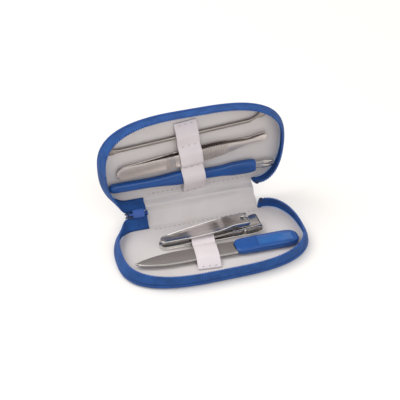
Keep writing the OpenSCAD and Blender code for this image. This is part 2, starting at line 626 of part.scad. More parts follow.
// share of the length, share of the width, share of the height
trimmer_stations = [[0, 0.3, 0.5], [0.01, 0.5, 0.8], [0.05, 0.6, 0.92], [0.25, 0.62, 0.94],
                    [0.36, 0.76, 0.97], [0.47, 0.98, 1], [0.56, 0.86, 0.96], [0.66, 0.68, 0.92],
                    [0.76, 0.74, 0.92], [0.85, 0.96, 0.96], [0.93, 1, 0.96], [0.99, 0.88, 0.9],
                    [1, 0.8, 0.84]];
module trimmer_handle() {
    color("#2450a0") at_lid() place(trimmer_at)
        skin([for (s = trimmer_stations) let (high = trimmer_h * s[2])
            [for (p = crown(grip_x + trimmer_len * s[0], trimmer_w * s[1], high))
                p + [0, 0, (trimmer_h - high) / 2]]]);
}
module trimmer_fork() {
    color("#b0aaa6") at_lid() place(trimmer_at) translate([grip_end + 0.02, 0, trimmer_h / 2 - fork_t / 2])
        linear_extrude(fork_t) difference() {
            polygon([[0, -2.2], [3.4, -2.2], [5, -2.8], [fork_len, -1.9], [fork_len, 1.9], [5, 2.8],
                     [3.4, 2.2], [0, 2.2]]);
            polygon([[5.4, 0], [fork_len + 1, -1.4], [fork_len + 1, 1.4]]);
        }
}

half_cover();  // base_cover
half_board();  // base_board
half_lining();  // base_lining
half_tape();  // base_tape
half_teeth();  // base_teeth
half_gusset();  // base_gusset
base_strap();
base_stitches();
half_zip_stop();  // base_zip_stop
at_lid() half_cover();  // lid_cover
at_lid() half_board();  // lid_board
at_lid() half_lining();  // lid_lining
at_lid() half_tape();  // lid_tape
at_lid() half_teeth();  // lid_teeth
at_lid() half_gusset();  // lid_gusset
lid_strap();
lid_stitches();
at_lid() half_zip_stop();  // lid_zip_stop
spine_cover();
spine_lining();
zip_chain();
zip_slider();
zip_pull();
clipper_lower_jaw();
clipper_upper_jaw();
clipper_rivet();
clipper_pin();
clipper_lever();
file_blade();
file_handle();
tweezer_back_arm();
tweezer_front_arm();
pusher();
trimmer_handle();
trimmer_fork();
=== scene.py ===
import math

import bpy
import bmesh
import numpy as np
from mathutils import Matrix, Vector, noise


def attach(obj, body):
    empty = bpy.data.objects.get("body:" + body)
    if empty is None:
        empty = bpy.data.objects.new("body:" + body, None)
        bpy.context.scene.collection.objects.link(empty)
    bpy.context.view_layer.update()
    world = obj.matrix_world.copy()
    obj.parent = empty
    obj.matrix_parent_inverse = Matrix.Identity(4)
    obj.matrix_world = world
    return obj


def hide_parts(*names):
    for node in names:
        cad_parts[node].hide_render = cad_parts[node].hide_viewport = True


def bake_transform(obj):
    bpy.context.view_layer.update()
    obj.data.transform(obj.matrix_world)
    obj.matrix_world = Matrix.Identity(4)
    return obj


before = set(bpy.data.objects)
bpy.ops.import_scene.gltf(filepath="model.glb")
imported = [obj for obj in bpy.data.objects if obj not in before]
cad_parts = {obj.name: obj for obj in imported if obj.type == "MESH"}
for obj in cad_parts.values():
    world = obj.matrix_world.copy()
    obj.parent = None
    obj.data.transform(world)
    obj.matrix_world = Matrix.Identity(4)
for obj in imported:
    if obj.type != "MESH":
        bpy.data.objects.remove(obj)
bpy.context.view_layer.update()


# small tools: all lengths are written in millimetres

def hexToLinear(text, alpha=1.0):  # sRGB hex to the linear colour that a shader wants
    parts = [int(text[i:i + 2], 16) / 255 for i in (1, 3, 5)]
    return tuple(c / 12.92 if c <= 0.04045 else ((c + 0.055) / 1.055) ** 2.4 for c in parts) + (alpha,)


def ease(u):
    v = np.clip(u, 0.0, 1.0)
    return v * v * (3 - 2 * v)


def smoothCurve(xs, ys, x):  # a curve through the points that never overshoots them
    xs, ys = np.asarray(xs, float), np.asarray(ys, float)
    step = np.diff(xs)
    slope = np.diff(ys) / step
    tangent = np.zeros(len(xs))
    tangent[0], tangent[-1] = slope[0], slope[-1]
    for i in range(1, len(xs) - 1):
        if slope[i - 1] * slope[i] > 0:
            w1, w2 = 2 * step[i] + step[i - 1], step[i] + 2 * step[i - 1]
            tangent[i] = (w1 + w2) / (w1 / slope[i - 1] + w2 / slope[i])
    x = np.clip(np.asarray(x, float), xs[0], xs[-1])
    i = np.clip(np.searchsorted(xs, x) - 1, 0, len(xs) - 2)
    t = (x - xs[i]) / step[i]
    return ((1 + 2 * t) * (1 - t) ** 2 * ys[i] + t * (1 - t) ** 2 * step[i] * tangent[i]
            + t * t * (3 - 2 * t) * ys[i + 1] + t * t * (t - 1) * step[i] * tangent[i + 1])


def roundTail(tail, first=0.02):  # stations round a half-circle end, tail = (centre, radius)
    return tail[0] - tail[1] * np.cos(np.linspace(first, math.pi / 2, 12))


def halfAt(x, tail, plan):  # half width there: round behind the tail's centre, then the plan
    if x < tail[0]:
        return math.sqrt(max(0.0, tail[1] ** 2 - (x - tail[0]) ** 2))
    return plan(x)


def straight(points, x):  # straight from point to point
    return float(np.interp(x, *zip(*points)))


def curved(points, x):  # a smooth curve through the points
    return float(smoothCurve(*zip(*points), x))


def travelled(points):  # the way along a line to each of its points
    return np.concatenate([[0], np.cumsum(np.linalg.norm(np.diff(points, axis=0), axis=1))])


def pointAt(points, gaps, d):  # the place on the line at d, gaps from travelled
    return np.array([np.interp(d, gaps, points[:, 0]), np.interp(d, gaps, points[:, 1])])


def loft(sections, ring=True, caps=True):  # a skin over equal sections, as (points, faces)
    sections = np.asarray(sections, float)
    count, size = sections.shape[:2]
    faces = []
    for i in range(count - 1):
        for j in range(size if ring else size - 1):
            k = (j + 1) % size
            faces.append((i * size + j, (i + 1) * size + j, (i + 1) * size + k, i * size + k))
    if caps and ring:
        faces.append(tuple(range(size)))
        faces.append(tuple((count - 1) * size + j for j in range(size)))
    return sections.reshape(-1, 3), faces


def roundedSection(x, low, high, bottom, top, radius, perCorner=4):  # a rounded rectangle across X
    radius = max(0.02, min(radius, (high - low) / 2 - 0.005, (top - bottom) / 2 - 0.005))
    points = []
    for cy, cz, start in ((high - radius, top - radius, 0), (low + radius, top - radius, 90),
                          (low + radius, bottom + radius, 180), (high - radius, bottom + radius, 270)):
        for a in np.radians(np.linspace(start, start + 90, perCorner)):
            points.append((x, cy + radius * math.cos(a), cz + radius * math.sin(a)))
    return points


def ovalSection(x, wide, high, y=0.0, z=0.0, squareness=1.0, size=32):  # squareness below 1 is boxier
    a = np.linspace(0, 2 * math.pi, size, endpoint=False)
    c, s = np.cos(a), np.sin(a)
    return np.column_stack([np.full(size, x), y + wide / 2 * np.sign(c) * abs(c) ** squareness,
                            z + high / 2 * np.sign(s) * abs(s) ** squareness])


def turned(profile, centre=(0, 0, 0), size=40):  # a lathe shape about Z from (radius, height) points
    a = np.linspace(0, 2 * math.pi, size, endpoint=False)
    rows = [np.column_stack([centre[0] + r * np.cos(a), centre[1] + r * np.sin(a),
                             np.full(size, centre[2] + z)]) for r, z in profile]
    return loft(rows)


def tube(path, radii, size=8):  # a round-sectioned rod along a list of points
    path = np.asarray(path, float)
    radii = np.broadcast_to(radii, len(path))
    rows, side = [], None
    for i, point in enumerate(path):
        ahead = path[min(i + 1, len(path) - 1)] - path[max(i - 1, 0)]
        ahead /= np.linalg.norm(ahead)
        if side is None:
            side = np.cross(ahead, (0, 0, 1) if abs(ahead[2]) < 0.9 else (1, 0, 0))
        side = side - ahead * side.dot(ahead)
        side /= np.linalg.norm(side)
        up = np.cross(side, ahead)
        rows.append([point + radii[i] * (side * math.cos(a) + up * math.sin(a))
                     for a in np.linspace(0, 2 * math.pi, size, endpoint=False)])
    return loft(rows)


def thread(start, end, lift, radius=0.2, size=6):  # one stitch: a short thread that dives at both ends
    start, end, lift = (np.asarray(v, float) for v in (start, end, lift))
    spots = [0, 0.12, 0.3, 0.5, 0.7, 0.88, 1]
    rise = [-0.9, 0.1, 0.75, 0.9, 0.75, 0.1, -0.9]
    path = [start + (end - start) * t + lift * radius * r for t, r in zip(spots, rise)]
    return tube(path, [radius * k for k in (0.7, 0.9, 1, 1, 1, 0.9, 0.7)], size)


def joined(parts):  # several (points, faces) as one
    points, faces, start = [], [], 0
    for p, f in parts:
        points.append(np.asarray(p, float))
        faces += [tuple(i + start for i in face) for face in f]
        start += len(p)
    return np.vstack(points), faces


def makePiece(name, shape, finish, body=None, nodes=(), angle=38, wave=None, placed=None):
    points, faces = joined(shape) if isinstance(shape, list) else shape
    points = np.array(points, float)
    if wave:  # a slight unevenness: (size of the waves, height)
        for i, p in enumerate(points):
            n = noise.noise_vector(Vector(p) / wave[0] + Vector((3.1, 7.7, 1.3)))
            points[i] = p + np.array(n) * wave[1]
    local = points
    if placed:
        points = placed(points)
    mesh = bpy.data.meshes.new(name)
    mesh.from_pydata((points / 1000).tolist(), [], faces)
    mesh.validate()
    along = mesh.attributes.new("along", "FLOAT_VECTOR", "POINT")  # the piece's own millimetres
    along.data.foreach_set("vector", np.asarray(local, np.float32).ravel())
    bm = bmesh.new()
    bm.from_mesh(mesh)
    bmesh.ops.recalc_face_normals(bm, faces=bm.faces)
    bm.to_mesh(mesh)
    bm.free()
    mesh.polygons.foreach_set("use_smooth", [True] * len(mesh.polygons))
    mesh.set_sharp_from_angle(angle=math.radians(angle))
    piece = bpy.data.objects.new(name, mesh)
    bpy.context.scene.collection.objects.link(piece)
    mesh.materials.append(finish)
    if body:
        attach(piece, body)
    if nodes:
        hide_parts(*nodes)
    return piece


# finishes

def addNode(tree, kind, settings=None, inputs=None):  # one node with its settings, values and links
    node = tree.nodes.new(kind)
    for key, value in (settings or {}).items():
        setattr(node, key, value)
    for key, value in (inputs or {}).items():
        if isinstance(value, bpy.types.NodeSocket):
            tree.links.new(value, node.inputs[key])
        else:
            node.inputs[key].default_value = value
    return node


def newFinish(name, baseColor, roughness, metallic=0.0):
    finish = bpy.data.materials.new(name)
    finish.use_nodes = True
    tree = finish.node_tree
    shader = tree.nodes["Principled BSDF"]
    shader.inputs["Base Color"].default_value = hexToLinear(baseColor)
    shader.inputs["Roughness"].default_value = roughness
    shader.inputs["Metallic"].default_value = metallic
    place = addNode(tree, "ShaderNodeTexCoord").outputs["Object"]
    return finish, tree, shader, place


def mixColors(tree, share, first, second, target=None):  # colours as hex, as numbers or from a socket
    mix = addNode(tree, "ShaderNodeMix", {"data_type": "RGBA"}, {"Factor": share})
    for key, color in (("A", first), ("B", second)):
        if isinstance(color, bpy.types.NodeSocket):
            tree.links.new(color, mix.inputs[key])
        else:
            mix.inputs[key].default_value = hexToLinear(color) if isinstance(color, str) else color
    if target:
        tree.links.new(mix.outputs["Result"], target)
    return mix.outputs["Result"]


def noiseFac(tree, place, size, detail):  # soft spots, size in mm
    return addNode(tree, "ShaderNodeTexNoise", None,
                   {"Vector": place, "Scale": 1000 / size, "Detail": detail}).outputs["Fac"]


def mapped(tree, value, **ends):  # Map Range, its ends as from_min, from_max, to_min, to_max
    more = {key.replace("_", " ").title(): end for key, end in ends.items()}
    return addNode(tree, "ShaderNodeMapRange", None, {"Value": value, **more}).outputs["Result"]


def maths(tree, operation, first, second):
    return addNode(tree, "ShaderNodeMath", {"operation": operation}, {0: first, 1: second}).outputs["Value"]


def ownPlace(tree):  # the piece's own millimetres
    return addNode(tree, "ShaderNodeAttribute", {"attribute_name": "along"}).outputs["Vector"]


def stretched(tree, along, across, detail):  # fine lines along the piece
    hair = addNode(tree, "ShaderNodeMapping", None, {"Vector": ownPlace(tree), "Scale": (along, across, across)})
    return addNode(tree, "ShaderNodeTexNoise", None,
                   {"Vector": hair.outputs["Vector"], "Scale": 1.0, "Detail": detail}).outputs["Fac"]


def ridges(tree, place, direction, pitch, **more):  # waves, pitch in mm
    return addNode(tree, "ShaderNodeTexWave", {"bands_direction": direction},
                   {"Vector": place, "Scale": 0.31 / pitch, **more}).outputs["Fac"]


def mottle(tree, shader, place, size, darker, lighter, low=0.35, high=0.65):  # slow change of colour, size in mm
    spread = mapped(tree, noiseFac(tree, place, size, 4.0), from_min=low, from_max=high)
    mixColors(tree, spread, darker, lighter, shader.inputs["Base Color"])


def bump(tree, shader, height, depth, strength=1.0, under=None):  # depth in mm
    node = addNode(tree, "ShaderNodeBump", None, {"Height": height, "Distance": depth / 1000, "Strength": strength})
    if under:
        tree.links.new(under.outputs["Normal"], node.inputs["Normal"])
    tree.links.new(node.outputs["Normal"], shader.inputs["Normal"])
    return node


def pebbled(tree, shader, place, grain, rim, soft, deep):  # creases under a pebble grain, grain in mm
    cells = addNode(tree, "ShaderNodeTexVoronoi", {"feature": "DISTANCE_TO_EDGE"},
                    {"Vector": place, "Scale": 1000 / grain})
    size, detail, depth, strength = soft
    first = bump(tree, shader, noiseFac(tree, place, size, detail), depth, strength)
    bump(tree, shader, mapped(tree, cells.outputs["Distance"], from_max=rim), *deep, first)


def coatedCloth():  # polyurethane-coated cloth with an embossed pebble grain: a soft, slightly greasy sheen
    finish, tree, shader, place = newFinish("coatedCloth", "#1f4e92", 0.55)
    shader.inputs["Specular IOR Level"].default_value = 0.35
    mottle(tree, shader, place, 18, "#1b4788", "#24559b")
    pebbled(tree, shader, place, 0.75, 0.22, (6, 3.0, 0.25, 0.5), (0.05, 0.8))
    return finish


def paleLeatherette(name, base, dark, light, grain, creases):  # thin coated lining cloth, matt, with a fine grain
    finish, tree, shader, place = newFinish(name, base, 0.52)
    mottle(tree, shader, place, 26, dark, light)
    pebbled(tree, shader, place, grain, 0.25, (7, 5.0, creases, 0.6), (0.04, 0.7))
    return finish


def wovenTape():  # woven polyester zip tape: matt, ribbed across its length
    finish, tree, shader, place = newFinish("wovenTape", "#1e4a8a", 0.75)
    shader.inputs["Specular IOR Level"].default_value = 0.3
    shader.inputs["Sheen Weight"].default_value = 0.04
    mottle(tree, shader, place, 6, "#1a4480", "#225295")
    own = ownPlace(tree)
    twill = ridges(tree, own, "DIAGONAL", 0.6, Distortion=0.6, Detail=1.0, **{"Detail Scale": 2.0})
    bump(tree, shader, maths(tree, "MULTIPLY", twill, ridges(tree, own, "Z", 0.5)), 0.1, 0.8)
    return finish


def spottedFinish(name, base, roughness, size, dark, light):  # one colour with slight spots, size in mm
    finish, tree, shader, place = newFinish(name, base, roughness)
    mottle(tree, shader, place, size, dark, light)
    return finish


def mouldedNylon():  # moulded polyamide teeth, dyed through, satin
    return spottedFinish("mouldedNylon", "#2a569c", 0.4, 3, "#234b8c", "#3564ae")


def sewingThread():  # spun polyester thread, matt, with uneven plies
    return spottedFinish("sewingThread", "#b3aaa9", 0.75, 0.8, "#a59c9b", "#c2b9b8")


def blueThread():  # the same thread in the shell's blue
    return spottedFinish("blueThread", "#265099", 0.7, 0.8, "#21498f", "#2d5aa6")


def softPull():  # moulded soft PVC, matt
    return spottedFinish("softPull", "#1e4c93", 0.5, 6, "#214a95", "#2955a6")


def greyBoard():  # pressed card inside the covers
    return spottedFinish("greyBoard", "#b59b6e", 0.9, 2, "#a88f63", "#c2a97d")


def mouldedPlastic(base="#144a8e", dark="#124687", light="#164f97", roughness=0.3):
    # injection-moulded polypropylene: even colour, a soft gloss, faint flow marks
    finish, tree, shader, place = newFinish("mouldedPlastic", base, roughness)
    mottle(tree, shader, place, 12, dark, light)
    bump(tree, shader, noiseFac(tree, place, 1.6, 2.0), 0.015, 0.5)
    return finish


def nickelPlate():  # polished nickel plate on steel: a near mirror with hairline scratches
    finish, tree, shader, place = newFinish("nickelPlate", "#d9d6d2", 0.16, 1.0)
    lines = stretched(tree, 0.12, 9.0, 3.0)
    tree.links.new(mapped(tree, lines, to_min=0.1, to_max=0.24), shader.inputs["Roughness"])
    bump(tree, shader, lines, 0.004, 0.4)
    return finish


def brushedSteel(name, base, dark, roughness, grips=()):  # stainless steel brushed along the tool
    finish, tree, shader, place = newFinish(name, base, roughness, 1.0)
    lines = stretched(tree, 0.25, 7.0, 4.0)
    tone = mixColors(tree, lines, dark, base, shader.inputs["Base Color"])
    last = bump(tree, shader, lines, 0.01, 0.5)
    far = addNode(tree, "ShaderNodeSeparateXYZ", None, {"Vector": ownPlace(tree)}).outputs["X"]
    for start, end, pitch in grips:  # pressed grooves across the tool between two places along it, in mm
        enter = mapped(tree, far, from_min=start - 0.15, from_max=start + 0.15)
        leave = mapped(tree, far, from_min=end + 0.15, from_max=end - 0.15)
        inside = maths(tree, "MULTIPLY", enter, leave)
        depth = maths(tree, "MULTIPLY", maths(tree, "PINGPONG", far, pitch / 2), inside)
        last = bump(tree, shader, depth, min(pitch, 1.0) * 0.35, 0.9, last)
        if pitch < 2:  # painted shade in the grooves darkens a fine grip
            paintedGrooveShade = mapped(tree, depth, from_max=pitch / 2, to_max=0.5)
            tone = mixColors(tree, paintedGrooveShade, tone, "#6d625e", shader.inputs["Base Color"])
    return finish


def etchedFile():  # steel etched into a fine crossed grit, duller than the edges that are ground clean
    finish, tree, shader, place = newFinish("etchedFile", "#a8a19d", 0.42, 0.75)
    ways = []
    for turn in (35, -35):
        spin = addNode(tree, "ShaderNodeMapping", None,
                       {"Vector": ownPlace(tree), "Rotation": (0, 0, math.radians(turn))})
        ways.append(ridges(tree, spin.outputs["Vector"], "X", 0.55))
    both = maths(tree, "MULTIPLY", *ways)
    mixColors(tree, both, "#8a8380", "#bdb6b1", shader.inputs["Base Color"])
    bump(tree, shader, both, 0.08, 0.8)
    return finish


def paintedZinc():  # die-cast zinc with blue lacquer, with light spots painted in as glints on the metal
    finish, tree, shader, place = newFinish("paintedZinc", "#22365f", 0.34, 0.5)
    # the light spots here are a painted glint
    mottle(tree, shader, place, 1.2, "#1a2b52", "#7d8aa6", 0.5, 0.85)
    return finish


shellCloth = coatedCloth()
liningCloth = paleLeatherette("liningCloth", "#d2cbca", "#cec7c5", "#d6d0cf", 0.8, 0.1)
strapCloth = paleLeatherette("strapCloth", "#d6cbce", "#d9cfd2", "#e1d8da", 0.5, 0.08)
# the piping's pale blue is a painted highlight along the lining's edge
pipingPaintedHighlight = paleLeatherette("pipingPaintedHighlight", "#b4c3df", "#a9b9d8", "#c2cfe6", 0.5, 0.08)
tapeCloth, teethNylon, paleThread, shellThread = wovenTape(), mouldedNylon(), sewingThread(), blueThread()
handlePlastic, plate, card = mouldedPlastic(), nickelPlate(), greyBoard()
toolSteel = brushedSteel("toolSteel", "#e6ddd8", "#b4aba5", 0.32)
# a darker copy of the tool steel: painted shade for the pusher's shaded look
rodSteelPaintedShade = brushedSteel("rodSteelPaintedShade", "#b3a9a2", "#7a716b", 0.34)
ribbedSteel = brushedSteel("ribbedSteel", "#e0d7d2", "#b1a8a2", 0.32, grips=[(-16.4, -10.8, 5.6), (4.0, 21.5, 1.0)])
# the inset panel's plastic: glossier than the handle, and its lighter colour is a painted highlight
insetPaintedHighlight = mouldedPlastic("#265c9f", "#225699", "#2b63a7", 0.2)
edgeSteel = brushedSteel("edgeSteel", "#dcd7d2", "#bbb5b0", 0.25)
fileSteel, sliderPaint, pullVinyl = etchedFile(), paintedZinc(), softPull()
print("finishes ready")


# the case: plan, and the way from a half's own frame to its place

casePlan = {
    "halfLength": 57.0, "backY": 29.5, "backFlat": 39.6, "frontFlat": 7.0, "backPower": 2.2, "frontPower": 2.6,
    "leanIn": 2.5, "leanOut": 0.5, "wallLeft": -30.6, "wallRight": 37.6, "stripLeft": -30.2, "stripRight": 37.2,
    "stripMiddle": 3.5, "floorZ": 1.8, "seatZ": 1.9, "cornerSteps": 48,
}


def planLine(over, lean=0.0):  # the outline, inset by over, from the spine's right end round the front to its left
    p, steps = casePlan, casePlan["cornerSteps"]
    a = p["halfLength"] - over - p["leanIn"] * lean
    f = p["backY"] - over + p["leanOut"] * lean
    b = p["backY"] - over - p["leanIn"] * lean
    t = np.radians(np.linspace(90, 0, steps + 1))
    back = np.column_stack([p["backFlat"] + (a - p["backFlat"]) * np.cos(t).clip(0) ** (2 / p["backPower"]),
                            b * np.sin(t) ** (2 / p["backPower"])])
    t = t[::-1][1:]
    front = np.column_stack([p["frontFlat"] + (a - p["frontFlat"]) * np.cos(t).clip(0) ** (2 / p["frontPower"]),
                             -f * np.sin(t) ** (2 / p["frontPower"])])
    side = np.vstack([back, front])
    return np.vstack([[[p["wallRight"], b]], side, side[::-1] * [-1, 1], [[p["wallLeft"], b]]])


def edgeAt(x, over):  # front and back edge of the plan at X
    p = casePlan
    a = p["halfLength"] - over
    deep = []
    for flat, power, reach in ((p["frontFlat"], p["frontPower"], -1), (p["backFlat"], p["backPower"], 1)):
        u = np.clip((abs(x) - flat) / (a - flat), 0, 1)
        deep.append(reach * (p["backY"] - over) * (1 - u ** power) ** (1 / power))
    return deep


def onBase(points):
    return np.asarray(points, float)


lowerFold, upperFold = (0, 29.5, 1.2), (0, 41.521, 13.221)
stripHalf = 8.5  # from the spine strip's middle to a fold


def onLid(points):  # the base's mirror image, folded upright
    q = np.asarray(points, float)
    return np.column_stack([q[:, 0], upperFold[1] + lowerFold[2] - q[:, 2], upperFold[2] + lowerFold[1] - q[:, 1]])


halves = {"base": onBase, "lid": onLid}
cornerAt = len(planLine(0)) - 2 - 20  # where the walls turn into the closed corner


def spinePoint(x, s, m):  # s up the strip from its middle, m off it to the inner side
    k = math.sqrt(0.5)
    return np.stack(np.broadcast_arrays(x, lowerFold[1] + (stripHalf + s - m) * k,
                                        lowerFold[2] + (stripHalf + s + m) * k), -1)


# covers

cover = {
    # (inset, height) up the inside, over the rolled edge and down the outside
    "profile": [(2.6, 0.62), (1.5, 0.62), (0.95, 1.0), (0.72, 1.9), (0.66, 2.6), (0.58, 2.82), (0.42, 2.92),
                (0.24, 2.86), (0.1, 2.66), (0.06, 2.4), (0.1, 2.22), (0.02, 2.0), (0.05, 1.6), (0.2, 1.25),
                (0.5, 0.75), (0.95, 0.36), (1.5, 0.13), (2.2, 0.03), (3.2, 0.0)],
    "stitchPitch": 2.9, "stitchLength": 2.0, "stitchHeight": 2.2,
    "notchY": 28.38, "notchTop": 0.6,  # cut out where the spine strip starts
}


def halfCover(half):
    rows = []
    for over, z in cover["profile"]:
        run = planLine(over)
        notch = np.array([[-30.47, run[-1, 1]], [-30.45, cover["notchY"]], [casePlan["stripMiddle"], cover["notchY"]],
                          [37.45, cover["notchY"]], [37.47, run[0, 1]]])
        heights = np.full(len(run) + 5, z)
        heights[-4:-1] = min(z, cover["notchTop"])
        rows.append(np.column_stack([np.vstack([run, notch]), heights]))
    rows = np.array(rows)
    size = rows.shape[1]
    points, faces = loft(rows, ring=True, caps=False)
    faces.append(tuple(range(size)))
    faces.append(tuple((len(rows) - 1) * size + j for j in range(size)))
    makePiece(half + "Cover", (points, faces), shellCloth, half, [half + "_cover"],
              wave=(17, 0.06), placed=halves[half])
    stitches = []
    run = planLine(0.04)
    gaps = travelled(run)
    for d in np.arange(1.5, gaps[-1] - 3, cover["stitchPitch"]):
        ends = [np.append(pointAt(run, gaps, d + k), cover["stitchHeight"]) for k in (0, cover["stitchLength"])]
        ahead = ends[1] - ends[0]
        out = np.array([ahead[1], -ahead[0], 0]) / np.linalg.norm(ahead)
        stitches.append(thread(ends[0], ends[1], out, 0.17))
    makePiece(half + "EdgeThread", stitches, shellThread, half, placed=halves[half])


# zip tapes that form the walls

tape = {
    # (inset, share of the rim's lean, height): up the outside, over the rim, down the inside
    "profile": [(0.95, 0, 1.9), (0.78, 0, 2.7), (0.5, 0, 3.0), (0.2, 0.02, 3.35), (0.1, 0.08, 4.1), (0.1, 0.2, 5.0),
                (0.1, 0.35, 5.82), (0.1, 0.6, 6.95), (0.08, 0.74, 7.6), (-0.04, 0.82, 7.95), (-0.06, 0.9, 8.35),
                (0.05, 0.97, 8.75), (0.22, 1, 9.0), (0.88, 1, 9.0), (1.04, 0.97, 8.75), (1.14, 0.9, 8.35),
                (1.12, 0.82, 7.95), (1.0, 0.74, 7.6), (1.0, 0.6, 6.95), (1.0, 0.35, 5.82), (1.0, 0.2, 5.0),
                (1.0, 0.08, 4.1), (1.06, 0.02, 3.35), (1.4, 0, 3.0), (1.64, 0, 2.7), (1.65, 0, 1.9)],
}


def tapeRows():
    return np.array([np.column_stack([planLine(over, lean), np.full(len(planLine(0)), z)])
                     for over, lean, z in tape["profile"]])


def halfWall(half):
    rows = tapeRows()[:, :cornerAt + 1]
    makePiece(half + "Wall", loft(rows.transpose(1, 0, 2)), tapeCloth, half, [half + "_tape"],
              wave=(11, 0.08), placed=halves[half], angle=60)


teeth = {
    "pitch": 1.6, "radius": 0.41, "height": 9.08, "inset": 0.55, "first": 3.4, "last": 1.0,
    "loop": [(-0.52, -0.22), (-0.4, 0), (0.4, 0), (0.52, -0.22)],  # one bar: (across the rim, height)
}


def halfTeeth(half):  # the coil's loops show as short round bars across the rim
    mid = planLine(teeth["inset"], 1)[:cornerAt + 1]
    gaps = travelled(mid)
    bars = []
    for d in np.arange(teeth["first"], gaps[-1] - teeth["last"], teeth["pitch"]):
        here = pointAt(mid, gaps, d)
        ahead = pointAt(mid, gaps, d + 0.2) - here
        out = np.array([ahead[1], -ahead[0]]) / np.linalg.norm(ahead)
        path = [(*(here + out * k), teeth["height"] + h) for k, h in teeth["loop"]]
        bars.append(tube(path, [teeth["radius"] * k for k in (0.6, 1, 1, 0.6)], 8))
    makePiece(half + "Coil", bars, teethNylon, half, [half + "_teeth"], placed=halves[half], angle=60)


# linings

lining = {"inset": 1.9, "backEdge": 28.35, "under": 1.12, "puff": 0.05, "columns": 120, "rows": 64}


def liningGrid(half, top):
    a = casePlan["halfLength"] - lining["inset"]
    xs = a * np.sin(np.radians(np.linspace(-89.5, 89.5, lining["columns"])))
    rows = []
    for x in xs:
        front, back = edgeAt(x, lining["inset"])
        back += (lining["backEdge"] - back) * ease((33.9 - abs(x - casePlan["stripMiddle"])) / 0.3) if back > 20 else 0
        v = 0.5 - 0.5 * np.cos(np.linspace(0, math.pi, lining["rows"]))
        ys = front + (back - front) * v
        near = np.minimum(np.minimum(ys - front, back - ys), (a - abs(x)) * 1.5)
        z = top - 0.16 * (1 - ease(near / 0.9))
        if top > 1.5:
            for i, y in enumerate(ys):
                z[i] += lining["puff"] * (noise.noise(Vector((x / 9, y / 9, 2.0 if half == "base" else 8.0))) - 0.2)
        rows.append(np.column_stack([np.full(len(ys), x), ys, z]))
    return np.array(rows)


def halfLining(half):
    top, low = liningGrid(half, casePlan["floorZ"]), liningGrid(half, lining["under"])
    low[:, :, 2] = lining["under"]
    count, size = top.shape[:2]
    points, faces = loft(top, ring=False)
    more, others = loft(low, ring=False)
    start = len(points)
    faces += [tuple(i + start for i in reversed(f)) for f in others]
    rim = ([i * size for i in range(count)] + [(count - 1) * size + j for j in range(1, size)]
           + [i * size + size - 1 for i in range(count - 2, -1, -1)] + list(range(size - 2, 0, -1)))
    for i, here in enumerate(rim):
        after = rim[(i + 1) % len(rim)]
        faces.append((here, after, after + start, here + start))
    piece = makePiece(half + "Lining", (np.vstack([points, more]), faces), liningCloth, half, [half + "_lining"],
                      placed=halves[half], angle=50)
    path = planLine(2.3)
    keep = path[1:cornerAt + 6]
    # a pale tube along the lining's edge: its colour is a painted highlight
    edge = tube([(x, y, 2.05) for x, y in keep], 0.42, 8)
    makePiece(half + "Piping", edge, pipingPaintedHighlight, half, placed=halves[half], angle=60)


for half in halves:
    halfCover(half)
    halfWall(half)
    halfTeeth(half)
    halfLining(half)
print("covers, walls, coils and linings made")


# the spine

flap = {
    # outline of the inner cloth across the case, (y, z) in mm at rest: lower piece, then upper piece
    "lower": [(25.6, 1.86), (26.3, 2.02), (27.2, 2.06), (28.0, 2.05), (28.6, 2.12), (29.15, 2.42)],
    "upper": [(40.0, 12.9), (40.45, 13.55), (40.72, 14.4), (40.82, 15.2), (40.84, 16.0)],
    "thick": 0.5, "waves": 1.0, "bend": 1.3,
    "coverOff": -0.78, "coverThick": 0.6,
    "coverLower": [(27.6, 0.04), (28.4, 0.05), (29.1, 0.14), (29.7, 0.36)],
    "coverUpper": [(42.36, 13.02), (42.58, 13.62), (42.67, 14.3), (42.68, 15.1)],
}


def strip(profile, thick, across=96, folds=0.0):  # a cloth strip: its section along X, with soft cross folds
    profile = np.asarray(profile, float)
    ahead = np.gradient(profile, axis=0)
    normal = np.column_stack([ahead[:, 1], -ahead[:, 0]]) / np.linalg.norm(ahead, axis=1)[:, None]
    count = len(profile)
    calm = ease(np.minimum(np.arange(count), count - 1 - np.arange(count)) / 16)
    rows = []
    for x in np.linspace(casePlan["stripLeft"], casePlan["stripRight"], across):
        rise = [folds * k * noise.noise(Vector((x / 26, y / 6, z / 6))) for (y, z), k in zip(profile, calm)]
        face = profile - normal * np.array(rise)[:, None]
        ring = np.vstack([face, (face + normal * thick)[::-1]])
        rows.append(np.column_stack([np.full(len(ring), x), ring]))
    return loft(rows)


def spineFace(m, lowS, highS, count):
    spots = [spinePoint(0, s, m if np.isscalar(m) else m(s))[1:] for s in np.linspace(lowS, highS, count)]
    return [tuple(p) for p in spots]


def puff(s):  # the cloth swells near the lid's fold and dips below its middle
    return 0.9 + 1.7 * math.exp(-((s - 3.7) / 1.8) ** 2) - 0.5 * math.exp(-((s + 0.2) / 1.5) ** 2)


def dense(points, step=0.25):  # the same line with points no further apart than step
    points = np.asarray(points, float)
    d = travelled(points)
    at = np.linspace(0, d[-1], int(d[-1] / step) + 2)
    return np.column_stack([smoothCurve(d, points[:, 0], at), smoothCurve(d, points[:, 1], at)])


def spinePiece(name, line, thick, finish, node, waves=0.0):  # a cloth strip over the spine, left where it lies at rest
    piece = makePiece(name, strip(dense(line), thick, folds=waves), finish, nodes=node, angle=70)
    if name.endswith("Lower"):
        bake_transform(piece)
    else:
        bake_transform(piece)


